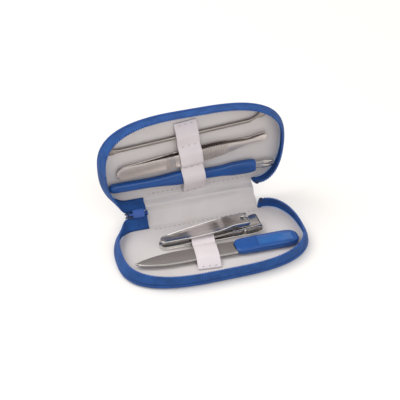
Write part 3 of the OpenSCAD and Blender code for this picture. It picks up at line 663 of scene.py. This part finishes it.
spinePiece("spineFlapLower", flap["lower"] + spineFace(puff, -7.3, 0.0, 20), flap["thick"], liningCloth,
           ["spine_lining"], flap["waves"])
spinePiece("spineFlapUpper", spineFace(puff, 0.0, 7.0, 20) + flap["upper"], flap["thick"], liningCloth,
           [], flap["waves"])
spinePiece("spineClothLower", flap["coverLower"] + spineFace(flap["coverOff"], -stripHalf, 0.0, 20),
           -flap["coverThick"], shellCloth, ["spine_cover"])
spinePiece("spineClothUpper", spineFace(flap["coverOff"], 0.0, stripHalf, 20) + flap["coverUpper"],
           -flap["coverThick"], shellCloth, [])
print("spine made")


# the closed corner: gussets, chain, slider and pull

corner = {
    "chainM": 3.0, "chainOff": 1.62, "halfThick": 0.45, "lastTurn": 48,
    "rise": [(1.9, 0), (2.85, 0), (3.5, 0.3), (5.82, 0.62), (9.0, 1)],  # height in the wall, share of the pull
    "bend": {"base": ("base", "spine", (0, 0.0160, 0.0185), (0, 0.0190, 0.0215)),
             "lid": ("spine", "lid", (0, 0.0212, 0.0237), (0, 0.0242, 0.0267))},
}


def gusset(half):
    rows = tapeRows()
    shares = np.interp([z for _, _, z in tape["profile"]], *zip(*corner["rise"]))
    count = rows.shape[1]
    turn = np.minimum((np.arange(cornerAt, count) - cornerAt) * (90 / casePlan["cornerSteps"]), corner["lastTurn"])
    sections = []
    for i, t in zip(range(cornerAt, count), turn):
        section = []
        for row in range(len(rows)):
            x, y, z = rows[row, i]
            m = corner["chainM"] + corner["halfThick"] * (-1 if row < len(rows) / 2 else 1)
            top = spinePoint(x, -corner["chainOff"], m)
            share = shares[row] * ease(t / 30)
            section.append(np.array((x, y, z)) * (1 - share) + top * share)
        sections.append(section)
    piece = makePiece(half + "Gusset", loft(sections), tapeCloth, nodes=[half + "_gusset"],
                      angle=60, placed=halves[half])
    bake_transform(piece)


for half in halves:
    gusset(half)


def onChain(points):  # X out of the strip's left end, Y up the strip, Z inwards
    q = np.asarray(points, float)
    return spinePoint(chain["start"] + q[:, 0], q[:, 1], corner["chainM"] + q[:, 2])


chain = {"start": -30.7, "pitch": 1.2, "links": 8}
bars = [loft([roundedSection(x, -0.62, 0.62, -1.25, 0.5, 0.4) for x in np.linspace(-9.9, -0.1, 20)])]
for i in range(chain["links"]):
    x = -0.7 - i * chain["pitch"]
    bars.append(tube([(x, -0.5, 0.55), (x, -0.4, 0.85), (x, 0.4, 0.85), (x, 0.5, 0.55)], [0.3, 0.4, 0.4, 0.3], 10))
makePiece("zipChain", bars, teethNylon, "spine", ["zip_chain"], placed=onChain)

makePiece("chainTab", loft([roundedSection(x, -1.45, 1.45, -2.05, -1.35 if x < -0.1 else 1.1, 0.3)
                            for x in (-1.6, -1.2, -0.6, -0.15, 0.05, 0.4, 0.9)]),
          tapeCloth, "spine", placed=onChain)

slider = {"from": -12.75, "to": -7.85, "width": 3.9, "plateOff": 1.12, "plateHalf": 0.33,
          "wall": (-1.3, 1.3, 1.44, 1.92), "earOff": 1.02, "earHalf": 0.36, "earAt": -10.5}
parts = []
for side in (-1, 1):
    rows = []
    for x in np.linspace(slider["from"], slider["to"], 14):
        u = (x - slider["from"]) / (slider["to"] - slider["from"])
        half = slider["width"] / 2 * (0.78 + 0.22 * math.sin(math.pi * min(1, 0.15 + 0.85 * u)))
        row = roundedSection(x, -half, half, -slider["plateHalf"], slider["plateHalf"], 0.28)
        rows.append([(p[0], side * slider["plateOff"] + p[2], p[1]) for p in row])
    parts.append(loft(rows))
parts.append(loft([roundedSection(x, *slider["wall"], 0.2) for x in (-12.5, -11, -9.5, -8.1)]))
for side in (-1, 1):
    rows = []
    y, across = side * slider["earOff"], slider["earHalf"]
    for u in np.linspace(-1, 1, 10):
        top = 1.8 + 2.0 * math.sqrt(max(0.0, 1 - u * u))
        rows.append(roundedSection(slider["earAt"] + u, y - across, y + across, 1.4, max(1.7, top), 0.25))
    parts.append(loft(rows))
makePiece("zipSlider", parts, sliderPaint, "zip_slider", ["zip_slider"], placed=onChain)

pull = {"length": 9.0, "width": 5.2, "thick": 1.2, "pinRadius": 0.38, "pinHalf": 1.45, "pinHeight": 3.3}
rows = []
for x in np.linspace(1.9, pull["length"], 26):
    u = min(1.0, (pull["length"] - x) / 1.6, (x - 1.75) / 1.1)
    half = pull["width"] / 2 * (0.62 + 0.38 * math.sqrt(max(0.0, 1 - (1 - u) ** 2)))
    thick = pull["thick"] * (0.72 + 0.28 * math.sqrt(max(0.0, 1 - (1 - min(1, u * 1.2)) ** 2)))
    rows.append(roundedSection(x, -half, half, -thick / 2, thick / 2, 0.45))
parts = [loft(rows)]
parts.append(loft([roundedSection(x, -0.56, 0.56, -0.4, 0.4, 0.25) for x in (-0.35, 0.0, 1.0, 2.2)]))
pinRing = [(pull["pinRadius"] * math.cos(a), pull["pinRadius"] * math.sin(a))
           for a in np.linspace(0, 2 * math.pi, 20, endpoint=False)]
parts.append(loft([[(x, y, z) for x, z in pinRing] for y in (-pull["pinHalf"], pull["pinHalf"])]))
makePiece("zipPull", parts, pullVinyl, "zip_pull", ["zip_pull"],
          placed=lambda q: onChain(np.asarray(q) + [slider["earAt"], 0, pull["pinHeight"]]))
print("zip corner made")


# straps

strap = {
    "width": 13.6, "thick": 0.8, "turn": -6.0, "seamDip": 1.9,
    # what each strap passes over: (place across the case, half width, height, roundness), all with some room
    "base": {"mid": (-4.9, 0.0), "low": -18.585, "high": 21.535,
             "over": [(-6.743, 5.85, 3.6, 0.25), (8.559, 5.2, 4.6, 0.3)],
             "seams": [-17.5, 0.95, 20.4], "on": ["file_blade", "clipper_upper_jaw"]},
    "lid": {"mid": (-1.5, 2.95), "low": -22.125, "high": 27.907,
            "over": [(15.887, 4.85, 5.86, 0.75), (1.587, 4.6, 5.45, 0.3), (-12.971, 1.65, 2.85, 1.0)],
            "seams": [-20.6, -6.6, 8.75, 26.9], "on": ["trimmer_handle", "tweezer_front_arm", "pusher"]},
}


def tautLine(facts):  # the strap's underside: an elastic pulled straight from seam to tool to seam
    ends = [(facts["low"], 0.04)] + [(y, strap["seamDip"]) for y in facts["seams"][1:-1]] + [(facts["high"], 0.04)]
    spots = []
    for left, right in zip(ends[:-1], ends[1:]):
        points = [left, right]
        for centre, half, height, power in facts["over"]:
            if left[0] < centre < right[0]:
                for a in np.radians(np.linspace(0, 180, 25)):
                    c, up = math.cos(a), math.sin(a)
                    points.append((centre + half * math.copysign(abs(c) ** power, c), height * up ** power))
        hull = []
        for point in sorted(points):
            while len(hull) > 1 and ((hull[-1][0] - hull[-2][0]) * (point[1] - hull[-2][1])
                                     >= (hull[-1][1] - hull[-2][1]) * (point[0] - hull[-2][0])):
                hull.pop()
            hull.append(point)
        spots += hull if not spots else hull[1:]
    ys = np.linspace(facts["low"], facts["high"], 260)
    z = np.interp(ys, *zip(*spots))
    step = ys[1] - ys[0]
    kernel = np.exp(-0.5 * (np.arange(-14, 15) * step / 0.75) ** 2)
    soft = np.convolve(np.pad(z, 14, mode="edge"), kernel / kernel.sum(), mode="valid")
    lift = max(0.0, max(float(np.interp(y, *zip(*spots)) - q) for y, q in zip(ys, soft)
                        if any(abs(y - c) < half - 0.5 for c, half, _, _ in facts["over"])))
    return ys, np.maximum(0.04, soft + min(lift, 0.25) * ease(soft / 1.5))


def onStrap(half):
    facts = strap[half]
    angle = math.radians(strap["turn"])
    mx, my = facts["mid"]

    def place(points):
        q = np.asarray(points, float)
        x, y = q[:, 0], q[:, 1] - my
        spun = np.column_stack([mx + x * math.cos(angle) - y * math.sin(angle),
                                my + x * math.sin(angle) + y * math.cos(angle), q[:, 2] + casePlan["floorZ"]])
        return halves[half](spun)
    return place


def makeStrap(half):
    facts = strap[half]
    ys, under = tautLine(facts)
    slope = np.gradient(under, ys)
    thick = (strap["thick"] - 0.04) * np.minimum(np.hypot(1, slope), 1.35)
    rows = []
    for y, bottom, tall in zip(ys, under, thick):
        row = roundedSection(0, -strap["width"] / 2, strap["width"] / 2, bottom, bottom + tall, 0.32)
        rows.append([(p[1], y, p[2]) for p in row])
    piece = makePiece(half + "Strap", loft(rows), strapCloth, half, [half + "_strap"],
                      placed=onStrap(half), angle=60)
    stitches = []
    for y in facts["seams"]:
        if half == "base" and y == facts["seams"][1]:
            continue
        z = float(np.interp(y, ys, under + thick))
        tilt = float(np.interp(y, ys, slope))
        for x in (-3.7, 0.0, 3.7):
            stitches.append(thread((x - 0.45, y, z), (x + 0.45, y, z), (0, -tilt, 1), 0.24))
    marks = makePiece(half + "StrapStitches", stitches, paleThread, half, [half + "_stitches"],
                      placed=onStrap(half))


for half in halves:
    makeStrap(half)

foldSeam = {"y": 25.6, "pitch": 2.9, "half": 0.5, "count": 22}
for half in halves:
    stitches = []
    for i in range(foldSeam["count"]):
        x = casePlan["stripMiddle"] + (i - (foldSeam["count"] - 1) / 2) * foldSeam["pitch"]
        stitches.append(thread((x - foldSeam["half"], foldSeam["y"], 1.86), (x + foldSeam["half"], foldSeam["y"], 1.86),
                               (0, 0, 1), 0.22))
    makePiece(half + "FoldStitches", stitches, paleThread, half, placed=halves[half])
print("straps and stitches made")


# tools

toolAt = {  # x, y and turn of each tool on its lining
    "clipper": ("base", 1.4, 8.614, 0.5), "file": ("base", 1.2, -6.903, -1.5),
    "trimmer": ("lid", -6.3, 15.812, 0.9), "tweezers": ("lid", -0.4, 1.475, -5.8),
    "pusher": ("lid", -5.8, -12.685, -3.8),
}


def onSeat(tool):
    half, atX, atY, turn = toolAt[tool]
    c, s = math.cos(math.radians(turn)), math.sin(math.radians(turn))

    def place(points):
        q = np.asarray(points, float)
        return halves[half](np.column_stack([atX + q[:, 0] * c - q[:, 1] * s, atY + q[:, 0] * s + q[:, 1] * c,
                                             q[:, 2] + casePlan["seatZ"]]))
    return place


clipper = {
    "pinX": 21.5, "rivetX": -26.0, "bow": 5.0, "barZ": 8.1, "tail": (-27, 4), "blade": 1.2,
    "plan": [(-27, 4.0), (19, 4.9), (28, 5.5), (31, 5.3)],
    "lowerUnder": [(24, 0), (28, 0.5), (30.4, 1.7), (31, 2.75)],
    "lowerTop": [(24, 1.2), (26.6, 1.5), (29, 2.3), (30.6, 3.0), (31, 2.95)],
    # the upper jaw's nose: what follows on its own underside and top
    "noseUnder": [(27.8, 5.68), (29.2, 5.22), (30.5, 4.03), (31, 4.14)],
    "noseTop": [(28.2, 7.05), (28.9, 7.1), (29.8, 6.7), (30.7, 5.45), (31, 4.6)], "noseStart": 27,
    "rivet": [(0.6, -0.0), (1.35, 0.12), (1.38, 0.4), (1.38, 2.3), (1.25, 2.5), (0.6, 2.62)],
    "pin": [(1.9, 0.0), (2.4, 0.1), (2.45, 0.35), (2.2, 0.48), (1.46, 0.5), (1.46, 8.2), (1.3, 8.7), (0.7, 8.9)],
    "bar": [(-4.6, 0.72), (-4.45, 0.88), (-2, 0.88), (2, 0.88), (4.45, 0.88), (4.6, 0.72)],
}


def jawHalf(x):
    return halfAt(x, clipper["tail"], lambda at: straight(clipper["plan"], at))


jawStations = np.concatenate([roundTail(clipper["tail"]), np.linspace(-26, 27, 60), np.linspace(27.4, 31, 16)])


def edgeCurve(rows):  # the cutting edges are ground hollow
    rows = np.array(rows, float)
    for row in rows:
        k = float(ease((row[:, 0].mean() - 26) / 5))
        row[:, 0] -= 0.5 * k * (1 - (row[:, 1] / 5.3) ** 2)
    return rows


def lowerHeights(x):
    return straight(clipper["lowerUnder"], x), straight(clipper["lowerTop"], x)


def upperHeights(x):
    under = 1.22 + clipper["bow"] * max(0, (x + 23) / 54) ** 1.5
    top = under + clipper["blade"]
    start = clipper["noseStart"]
    if x > start:
        return curved([(start, under)] + clipper["noseUnder"], x), curved([(start, top)] + clipper["noseTop"], x)
    return under, top


def jaw(heights):
    return loft(edgeCurve([roundedSection(x, -jawHalf(x), jawHalf(x), *heights(x), 0.22) for x in jawStations]))


def clipperPiece(name, shape, body, nodes, angle=30):
    return makePiece(name, shape, plate, body, nodes, placed=onSeat("clipper"), angle=angle)


clipperPiece("clipperLowerJaw", jaw(lowerHeights), "clipper", ["clipper_lower_jaw"])
clipperPiece("clipperUpperJaw", jaw(upperHeights), "clipper_upper", ["clipper_upper_jaw"])
clipperPiece("clipperRivet", turned(clipper["rivet"], (clipper["rivetX"], 0, 0)), "clipper", ["clipper_rivet"], 40)
crossBar = tube([(clipper["pinX"], y, clipper["barZ"]) for y, _ in clipper["bar"]], [r for _, r in clipper["bar"]], 24)
clipperPiece("clipperPin", [turned(clipper["pin"], (clipper["pinX"], 0, 0)), crossBar],
             "clipper_pin", ["clipper_pin"], 40)

lever = {
    "dish": 0.42, "tail": (-27, 3.2), "cheek": 1.0,
    "under": [(-30.2, 4.4), (-21, 5.1), (-12, 5.8), (-4, 6.55), (4, 7.3), (10, 7.95), (14.2, 8.5), (16, 9.08),
              (23.6, 9.1)],
    "top": [(-30.2, 5.5), (-21, 6.2), (-12, 6.9), (-4, 7.65), (4, 8.4), (9, 9.25), (13, 9.85), (16, 9.98),
            (21.3, 9.98), (22.8, 9.7), (23.6, 9.2)],
    "plan": [(-27, 3.2), (-19, 4.1), (-10, 5.0), (2, 5.4), (8, 5.3), (15.5, 4.8), (22.5, 4.8), (23.6, 4.55)],
    "cheekUnder": [(12.4, 8.35), (14.5, 8.0), (17.5, 6.82), (22.1, 6.9), (23.5, 8.1)],
    "slot": [(18.7, 1.0), (19.0, 1.45), (19.5, 1.6), (22.4, 1.6), (22.8, 1.45), (23.1, 1.0)],  # round the pin
}


def leverHalf(x):
    return halfAt(x, lever["tail"], lambda at: curved(lever["plan"], at))


def leverShape():
    rows = []
    for x in np.concatenate([roundTail(lever["tail"])[2:], np.linspace(-26, 21, 70), np.linspace(21.3, 23.6, 8)]):
        bottom, top = curved(lever["under"], x), curved(lever["top"], x)
        half = leverHalf(x)
        dish = lever["dish"] * float(ease((x + 29) / 6) * ease((12 - x) / 8))
        surface = [(x, y, top - dish * (1 - (y / half) ** 4)) for y in np.linspace(half - 0.5, 0.5 - half, 9)]
        ring = roundedSection(x, -half, half, bottom, top, 0.35, 5)
        rows.append(ring[:5] + surface + ring[5:])
    parts = [loft(rows)]
    for side in (-1, 1):
        rows = []
        for x in np.linspace(12.4, 23.5, 28):
            outer = leverHalf(x) - 0.02
            rows.append(roundedSection(x, *sorted((side * outer, side * (outer - lever["cheek"]))),
                                       curved(lever["cheekUnder"], x), 9.5, 0.3))
        parts.append(loft(rows))
    return parts


leverPiece = clipperPiece("clipperLever", leverShape(), "clipper_lever", ["clipper_lever"])
cutter = makePiece("slotCutter", loft([roundedSection(x, -w, w, 8.2, 11.5, 0.1) for x, w in lever["slot"]]),
                   plate, placed=onSeat("clipper"))
cut = leverPiece.modifiers.new("slot", "BOOLEAN")
cut.object, cut.operation, cut.solver, cut.use_self = cutter, "DIFFERENCE", "EXACT", True
bpy.context.view_layer.update()
graph = bpy.context.evaluated_depsgraph_get()
slotted = bpy.data.meshes.new_from_object(leverPiece.evaluated_get(graph))
leverPiece.modifiers.clear()
leverPiece.data = slotted
bpy.data.objects.remove(cutter)
print("clipper made")

blade = {
    "low": [(-48.5, 0.25), (-47.8, -0.8), (-46.5, -1.7), (-43, -3.0), (-38.5, -4.1), (-32, -5.1), (-26.5, -5.45),
            (10.9, -5.5)],
    "high": [(-48.5, 0.35), (-47.6, 0.95), (-46.5, 1.5), (-42, 2.9), (-36.5, 4.2), (-29, 5.2), (-22.5, 5.5),
             (10.9, 5.5)],
    "under": 2.0, "top": 3.2, "edge": 0.8, "ring": 11, "etched": {3, 4, 5},  # points round it, those on the grit
}


def bladeShape():
    rows = []
    for x in np.concatenate([np.linspace(-48.5, -44, 14), np.linspace(-43.4, 10.9, 70)]):
        a, b = curved(blade["low"], x), curved(blade["high"], x)
        e = min(blade["edge"], (b - a) / 2 * 0.55)
        under, top = blade["under"], blade["top"]
        rows.append([(x, a, under + 0.35), (x, a + 0.1, top - 0.35), (x, a + e * 0.6, top - 0.08), (x, a + e, top),
                     (x, (a + b) / 2, top), (x, b - e, top), (x, b - e * 0.6, top - 0.08), (x, b - 0.1, top - 0.35),
                     (x, b, under + 0.35), (x, b - e * 0.5, under), (x, a + e * 0.5, under)])
    return loft(rows)


bladePiece = makePiece("fileBlade", [bladeShape(), loft([roundedSection(x, -3, 3, 2.0, 3.2, 0.2) for x in (10, 22.3)])],
                       edgeSteel, "file", ["file_blade"], placed=onSeat("file"), angle=25)
bladePiece.data.materials.append(fileSteel)
for face in bladePiece.data.polygons:
    spots = {v % blade["ring"] for v in face.vertices if v < 84 * blade["ring"]}
    face.material_index = int(bool(spots) and spots <= blade["etched"])

fileHandle = {
    # distance from the blade's end, share of the width, share of the height
    "stations": [(0, 0.5, 0.5), (0.4, 0.68, 0.58), (1.2, 0.84, 0.66), (2.6, 0.95, 0.74), (5, 1, 0.82), (9, 1, 0.88),
                 (12, 1, 1), (24, 1, 1), (30, 1, 1), (34, 0.93, 0.92), (36.6, 0.75, 0.74), (37.7, 0.52, 0.58),
                 (38, 0.4, 0.5)],
    "start": 10.5, "width": 12.0, "height": 5.2, "inset": {"from": 12.5, "to": 36.0, "half": 4.0, "depth": 0.75},
}


def crown(x, wide, high, lift, size=36, acrossPower=0.7, upPower=0.75):  # a moulded grip's section
    a = np.linspace(0, 2 * math.pi, size, endpoint=False)
    c, s = np.cos(a), np.sin(a)
    return np.column_stack([np.full(size, x), wide / 2 * np.sign(c) * abs(c) ** acrossPower,
                            lift + high / 2 + high / 2 * np.sign(s) * abs(s) ** upPower])


def handleSize(facts, at):  # width and height of a moulded handle there
    return tuple(facts[key] * curved([(row[0], row[column]) for row in facts["stations"]], at)
                 for key, column in (("width", 1), ("height", 2)))


inset = fileHandle["inset"]
rows = []
for d in np.concatenate([np.linspace(0, 3, 14), np.linspace(3.5, 33.5, 80), np.linspace(33.9, 38, 18)]):
    wide, high = handleSize(fileHandle, d)
    section = crown(fileHandle["start"] + d, wide, high, (fileHandle["height"] - high) * 0.45, 96, 0.6, 0.5)
    share = ease((d - inset["from"]) / 1.6) * ease((inset["to"] - d) / 1.6)
    edge = ease((inset["half"] - abs(section[:, 1])) / 0.7) * (section[:, 2] > high * 0.6)
    section[:, 2] -= inset["depth"] * share * edge
    rows.append(section)
handlePiece = makePiece("fileHandle", loft(rows), handlePlastic, "file", ["file_handle"],
                        placed=onSeat("file"), angle=24)
handlePiece.data.materials.append(insetPaintedHighlight)
own = handlePiece.data.attributes["along"].data
for face in handlePiece.data.polygons:  # the inset panel is moulded with a polished face; its lighter colour is a painted highlight
    face.material_index = int(all(z > 3.4 and abs(y) < inset["half"] - 0.4
                                  and inset["from"] + 1 < x - fileHandle["start"] < inset["to"] - 1
                                  for x, y, z in (own[v].vector for v in face.vertices)))
print("file made")

tweezers = {
    "tail": (-41.8, 4.2), "middle": 2.5, "arm": 0.88, "spring": -39,
    # half width towards the front and towards the back, where the slanted tips are
    "front": [(-41.8, 4.2), (10, 4.2), (14, 4.1), (24, 3.0), (36, 1.6), (39, 2.0), (41, 2.25), (45.7, 2.4), (46, 1.8)],
    "back": [(-41.8, 4.2), (10, 4.2), (14, 4.05), (24, 2.9), (36, 1.35), (39, 1.65), (41, 1.85), (44.2, 2.2),
             (45, 0.9), (46, -1.6)],
}


def armOut(x):  # the arm's outer face, from the middle: it bows out and comes in again to the tips
    u = (x - tweezers["spring"]) / 85
    if u < 0:
        return 0.9
    inward = 0 if u < 0.55 else 0.95 * float(ease((u - 0.55) / 0.45))
    return 0.9 + 1.6 * math.sin(min(1, u / 0.55) * math.pi / 2) - inward


def armShape(side):
    rows = []
    tail = tweezers["tail"]
    for x in np.concatenate([roundTail(tail, 0.05), np.linspace(-41, 37, 90), np.linspace(37.4, 45.95, 20)]):
        a, b = (halfAt(x, tail, lambda at: curved(tweezers[edge], at)) for edge in ("front", "back"))
        row = np.array(roundedSection(x, -a, b, armOut(x) - tweezers["arm"], armOut(x) - 0.02, 0.3))
        row[:, 2] = tweezers["middle"] + side * row[:, 2]
        rows.append(row)
    return loft(rows)


for name, side, body, node in (("tweezerBackArm", -1, "tweezers", "tweezer_back_arm"),
                               ("tweezerFrontArm", 1, "tweezer_front", "tweezer_front_arm")):
    makePiece(name, armShape(side), ribbedSteel, body, [node], placed=onSeat("tweezers"), angle=30)

pusher = {
    "rod": 2.4, "flatWidth": 4.0, "flatThin": 1.35, "flatEnd": -44.65, "bend": 20.0, "bendAt": 40.9,
    # the neck and the spoon beyond the bend: (distance, width, height)
    "spoon": [(0.3, 2.3, 2.3), (1.2, 2.0, 2.0), (2.2, 1.92, 1.92), (3.6, 1.92, 1.9), (4.8, 2.1, 1.8), (5.6, 2.6, 1.6),
              (6.3, 3.5, 1.45), (7.2, 4.3, 1.35), (8.0, 4.6, 1.3), (8.9, 4.25, 1.3), (9.6, 3.4, 1.3), (10.0, 2.3, 1.2),
              (10.15, 1.2, 0.9)],
}


def pusherShape():
    rows = []
    rod, end = pusher["rod"], pusher["flatEnd"]
    for x in np.concatenate([np.linspace(end, -40.5, 14), np.linspace(-39.5, 40.2, 50)]):
        flat = float(ease((-39.6 - x) / 2.2))
        wide = rod + (pusher["flatWidth"] - rod) * flat
        wide *= 0.86 + 0.14 * min(1, (x - end) / 0.55)
        rows.append(ovalSection(x, wide, rod - pusher["flatThin"] * flat, 0, rod / 2, 1 - 0.35 * flat))
    turn = math.radians(pusher["bend"])
    for u, wide, high in pusher["spoon"]:
        section = ovalSection(u, wide, high, 0, rod / 2)
        t = turn * min(1, 0.35 + u / 2)
        x, y = section[:, 0].copy(), section[:, 1].copy()
        section[:, 0] = pusher["bendAt"] + x * math.cos(turn) + y * math.sin(t)
        section[:, 1] = -x * math.sin(turn) + y * math.cos(t)
        rows.append(section)
    return loft(rows)


makePiece("cuticlePusher", pusherShape(), rodSteelPaintedShade, "pusher", ["pusher"], placed=onSeat("pusher"),
          angle=50)

trimmer = {
    "stations": [(0, 0.3, 0.5), (0.006, 0.44, 0.68), (0.02, 0.54, 0.82), (0.05, 0.6, 0.92), (0.25, 0.62, 0.94),
                 (0.36, 0.76, 0.97), (0.47, 0.98, 1), (0.56, 0.86, 0.96), (0.66, 0.68, 0.92), (0.76, 0.74, 0.92),
                 (0.85, 0.96, 0.96), (0.93, 1, 0.96), (0.98, 0.92, 0.92), (1, 0.8, 0.84)],
    "length": 89.5, "width": 9.0, "height": 5.4,
    "fork": {"length": 11.6, "low": 2.0, "high": 3.4, "outer": [(0, 2.2), (3.4, 2.2), (5, 2.8), (11.6, 1.9)],
             "inner": [(0, -0.1), (5.4, 0.0), (11.6, 1.24)]},
}
rows = []
for u in np.concatenate([np.linspace(0, 0.05, 12), np.linspace(0.06, 0.97, 90), np.linspace(0.975, 1, 6)]):
    wide, high = handleSize(trimmer, u)
    rows.append(crown(trimmer["length"] * (u - 0.5), wide, high, (trimmer["height"] - high) / 2))
makePiece("trimmerHandle", loft(rows), handlePlastic, "trimmer", ["trimmer_handle"],
          placed=onSeat("trimmer"))


def prong(side):
    fork = trimmer["fork"]
    rows = []
    for x in np.linspace(0, fork["length"], 40):
        edges = sorted(side * straight(fork[key], x) for key in ("outer", "inner"))
        rows.append(roundedSection(trimmer["length"] / 2 + 0.02 + x, *edges, fork["low"], fork["high"], 0.25))
    return loft(rows)


makePiece("trimmerFork", [prong(-1), prong(1)], edgeSteel, "trimmer", ["trimmer_fork"],
          placed=onSeat("trimmer"), angle=30)
print("lid tools made")

for name, finish in (("base_board", card), ("lid_board", card),
                     ("base_zip_stop", sliderPaint), ("lid_zip_stop", sliderPaint)):
    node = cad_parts[name]
    for place in node.material_slots:
        place.material = finish
    if not node.material_slots:
        node.data.materials.append(finish)


# floor, light and camera

studio = {
    "world": 0.8, "key": 5.0, "fill": 2.2, "floorLift": 0.08, "floorHalf": 4, "floorZ": -0.0002,
    # how bright the room is in reflections, from straight down (0) to straight up (1)
    "bands": [(0.0, 0.6), (0.5, 0.4), (0.55, 0.05), (0.64, 0.2), (0.74, 1.0), (0.84, 0.95), (0.9, 0.3), (1.0, 0.75)],
}


def raysSeen(tree, *kinds):  # 1 for rays of these kinds, 0 for others
    rays = addNode(tree, "ShaderNodeLightPath")
    seen = rays.outputs[kinds[0]]
    for kind in kinds[1:]:
        seen = maths(tree, "MAXIMUM", seen, rays.outputs[kind])
    return seen


world = bpy.data.worlds.new("studio")
bpy.context.scene.world = world
world.use_nodes = True
tree = world.node_tree
look = addNode(tree, "ShaderNodeTexCoord").outputs["Generated"]
height = addNode(tree, "ShaderNodeSeparateXYZ", None, {"Vector": look}).outputs["Z"]
bands = addNode(tree, "ShaderNodeValToRGB", None, {"Fac": mapped(tree, height, from_min=-1.0)})
ramp = bands.color_ramp
while len(ramp.elements) < len(studio["bands"]):
    ramp.elements.new(0.5)
for stop, (place, grey) in zip(ramp.elements, studio["bands"]):
    stop.position, stop.color = place, (grey, grey, grey, 1)
room = mixColors(tree, raysSeen(tree, "Is Glossy Ray"), (studio["world"],) * 3 + (1,), bands.outputs["Color"])
mixColors(tree, raysSeen(tree, "Is Camera Ray", "Is Transmission Ray"), room, (1, 1, 1, 1),
          tree.nodes["Background"].inputs["Color"])

floorFinish, tree, shader, place = newFinish("studioPaper", "#efebe6", 0.9)
seen = raysSeen(tree, "Is Camera Ray", "Is Transmission Ray", "Is Glossy Ray")
shader.inputs["Emission Color"].default_value = (1, 1, 1, 1)
tree.links.new(maths(tree, "MULTIPLY", seen, studio["floorLift"]), shader.inputs["Emission Strength"])
floorMesh = bpy.data.meshes.new("studioFloor")
floorMesh.from_pydata([(x * studio["floorHalf"], y * studio["floorHalf"], studio["floorZ"])
                       for x, y in ((-1, -1), (1, -1), (1, 1), (-1, 1))], [], [(0, 1, 2, 3)])
floorMesh.materials.append(floorFinish)
floor = bpy.data.objects.new("studioFloor", floorMesh)
bpy.context.scene.collection.objects.link(floor)


def areaLamp(name, place, aim, size, watts, tint):
    lamp = bpy.data.lights.new(name, "AREA")
    lamp.shape, lamp.size, lamp.energy, lamp.color = "DISK", size, watts, tint
    lampObject = bpy.data.objects.new(name, lamp)
    lampObject.location = place
    lampObject.rotation_mode = "QUATERNION"
    lampObject.rotation_quaternion = (Vector(aim) - Vector(place)).to_track_quat("-Z", "Y")
    bpy.context.scene.collection.objects.link(lampObject)


areaLamp("keyLamp", (-0.5, 0.2, 0.95), (0, 0.01, 0.02), 0.7, studio["key"], (1.0, 0.985, 0.96))
areaLamp("fillLamp", (0.1, -0.8, 0.8), (0, 0.02, 0.03), 0.7, studio["fill"], (0.97, 0.98, 1.0))

bpy.context.scene.view_settings.view_transform = "Standard"
camera = bpy.data.cameras.new("photoCamera")
camera.lens, camera.sensor_width = 123.462, 36.0
camera.clip_start, camera.clip_end = 0.05, 20
cameraObject = bpy.data.objects.new("photoCamera", camera)
cameraObject.location = (-0.181679, -0.589221, 0.509616)
cameraObject.rotation_mode = "QUATERNION"
cameraObject.rotation_quaternion = (Vector((0.22521, 0.76065, -0.60884)).to_track_quat("-Z", "Y")
                                    @ Matrix.Rotation(math.radians(-0.3597), 4, "Z").to_quaternion())
bpy.context.scene.collection.objects.link(cameraObject)
bpy.context.scene.camera = cameraObject
print("studio ready")
